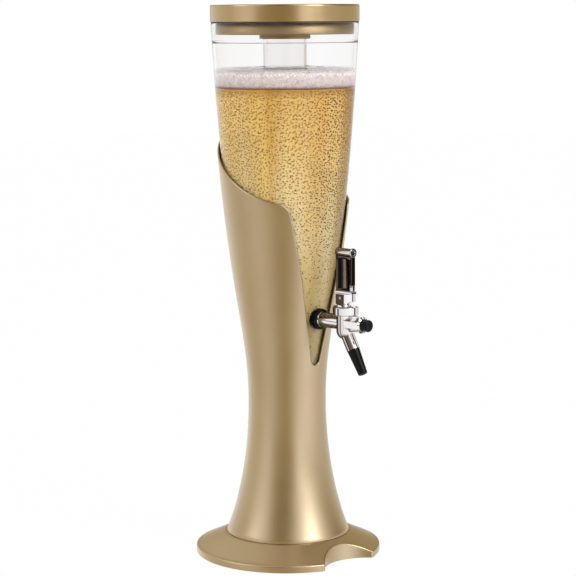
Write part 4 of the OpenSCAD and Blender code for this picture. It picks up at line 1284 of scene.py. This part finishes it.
# What polished chrome mirrors: bands by height angle, cards round the tower, and one dark
# card above the horizon
CHROME_BANDS = {
    -89: (0.16, 0.13, 0.11), -52: (0.3, 0.25, 0.21), -48: (0.72, 0.62, 0.54),
    -36: (0.8, 0.72, 0.66), -33: (0.98, 0.94, 0.92), -12: (1.0, 0.97, 0.96),
    -5.5: (1.0, 0.98, 0.98), -4.5: (0.08, 0.06, 0.05), 1: (0.08, 0.06, 0.05), 3: 1.0,
    25: (1.05, 1.05, 1.06), 27: (0.3, 0.27, 0.25), 36: (0.3, 0.28, 0.27), 38: (1.15, 1.15, 1.16),
    47: (1.15, 1.15, 1.16), 49: (0.2, 0.19, 0.18), 89: (0.3, 0.3, 0.3),
}
CHROME_CARDS = {
    -180: 0.95, -146: 0.92, -144: 0.1, -138: 0.1, -136: 0.9, -132: 0.72, -112: 0.14, -101: 0.2,
    -96: 0.95, -87: 1.0, -82: 0.2, -70: 0.14, -58: 0.8, -30: 0.94, 30: 1.1, 78: 1.05, 82: 0.05,
    95: 0.05, 98: 0.8, 140: 0.85, 144: 0.08, 152: 0.08, 155: 0.95, 180: 0.95,
}
FRONT_CARD = {
    -90: 1.0, -80: (0.2, 0.13, 0.08), -8: (0.14, 0.1, 0.07), -4: 1.0,
}


def studio_tone(level):
    """Colour of the studio at a brightness: warm in the dark parts, cool in the bright ones."""
    share = max(0.0, min(1.0, (level - 0.3) / 0.6))
    return tuple(level * k for k in mixed((1.06, 0.8, 0.3), (1.0, 1.02, 1.08), share))


def world():
    """Plain light for matt surfaces, white behind the object, and a studio for metal to mirror."""
    data = bpy.data.worlds.new("studio")
    SCENE.world = data
    net = Net(data)
    net.nodes.remove(net.nodes["Background"])
    share, up = net.turn(net.add("TexCoord").outputs["Generated"])
    low, level, high = (
        net.round_ramp(share, {angle: studio_tone(tone) for angle, tone in table.items()})
        for table in (STUDIO_LOW, STUDIO_LEVEL, STUDIO_HIGH)
    )
    seen = net.mix(net.span(up, 0.0, 1.0, -0.07, -0.01), low, level)
    seen = net.mix(net.span(up, 0.0, 1.0, 0.03, 0.17), seen, high)
    stops = [((sin(radians(angle)) + 1) / 2, tone) for angle, tone in CHROME_BANDS.items()]
    bands = net.ramp(net.span(up, 0.0, 1.0, -1.0, 1.0), stops)
    over, under = net.span(up, 0.0, 1.0, -0.03, 0.0), net.span(up, 1.0, 0.0, 0.45, 0.5)
    raised = net.math("MULTIPLY", over, under)
    front_card = net.mix(raised, (1, 1, 1, 1), net.round_ramp(share, FRONT_CARD))
    crisp = net.times(net.times(bands, net.round_ramp(share, CHROME_CARDS)), front_card)

    def light(strength, colour=(1, 1, 1, 1)):
        return net.add("Background", Color=colour, Strength=strength)

    path = net.add("LightPath").outputs
    matt = net.mixed_shaders(path["Is Transmission Ray"], light(PLAIN_LIGHT), light(INSIDE_LIGHT))
    diffused = net.math("GREATER_THAN", path["Diffuse Depth"], 0.5)
    direct = net.mixed_shaders(diffused, light(1.0), matt)
    polished = net.mixed_shaders(path["Is Singular Ray"], light(1.0, seen), light(1.0, crisp))
    result = net.mixed_shaders(mirror_share(net, path), direct, polished)
    net.put(net.nodes["World Output"].inputs["Surface"], result)


def lamp(name, turn, height, distance, size, power):
    """Soft box, its turn in degrees from the camera's side toward the tap's."""
    data = bpy.data.lights.new(name, "AREA")
    data.shape = "RECTANGLE"
    data.size, data.size_y = size
    data.energy = power
    obj = new_object(name, data)
    a = VIEW_TURN + pi + radians(turn)
    obj.location = (distance * cos(a), distance * sin(a), height)
    to_aim = Vector((0, 0, LAMP_AIM_Z)) - obj.location
    obj.rotation_euler = to_aim.to_track_quat("-Z", "Y").to_euler()
    obj.visible_camera = False


camera()
floor()
world()
lamp("soft_box_right", 50, 1.5, 1.9, (0.7, 1.6), 13)
lamp("soft_box_left", -75, 1.4, 2.2, (1.0, 1.4), 5)

SCENE.view_settings.view_transform = "Standard"
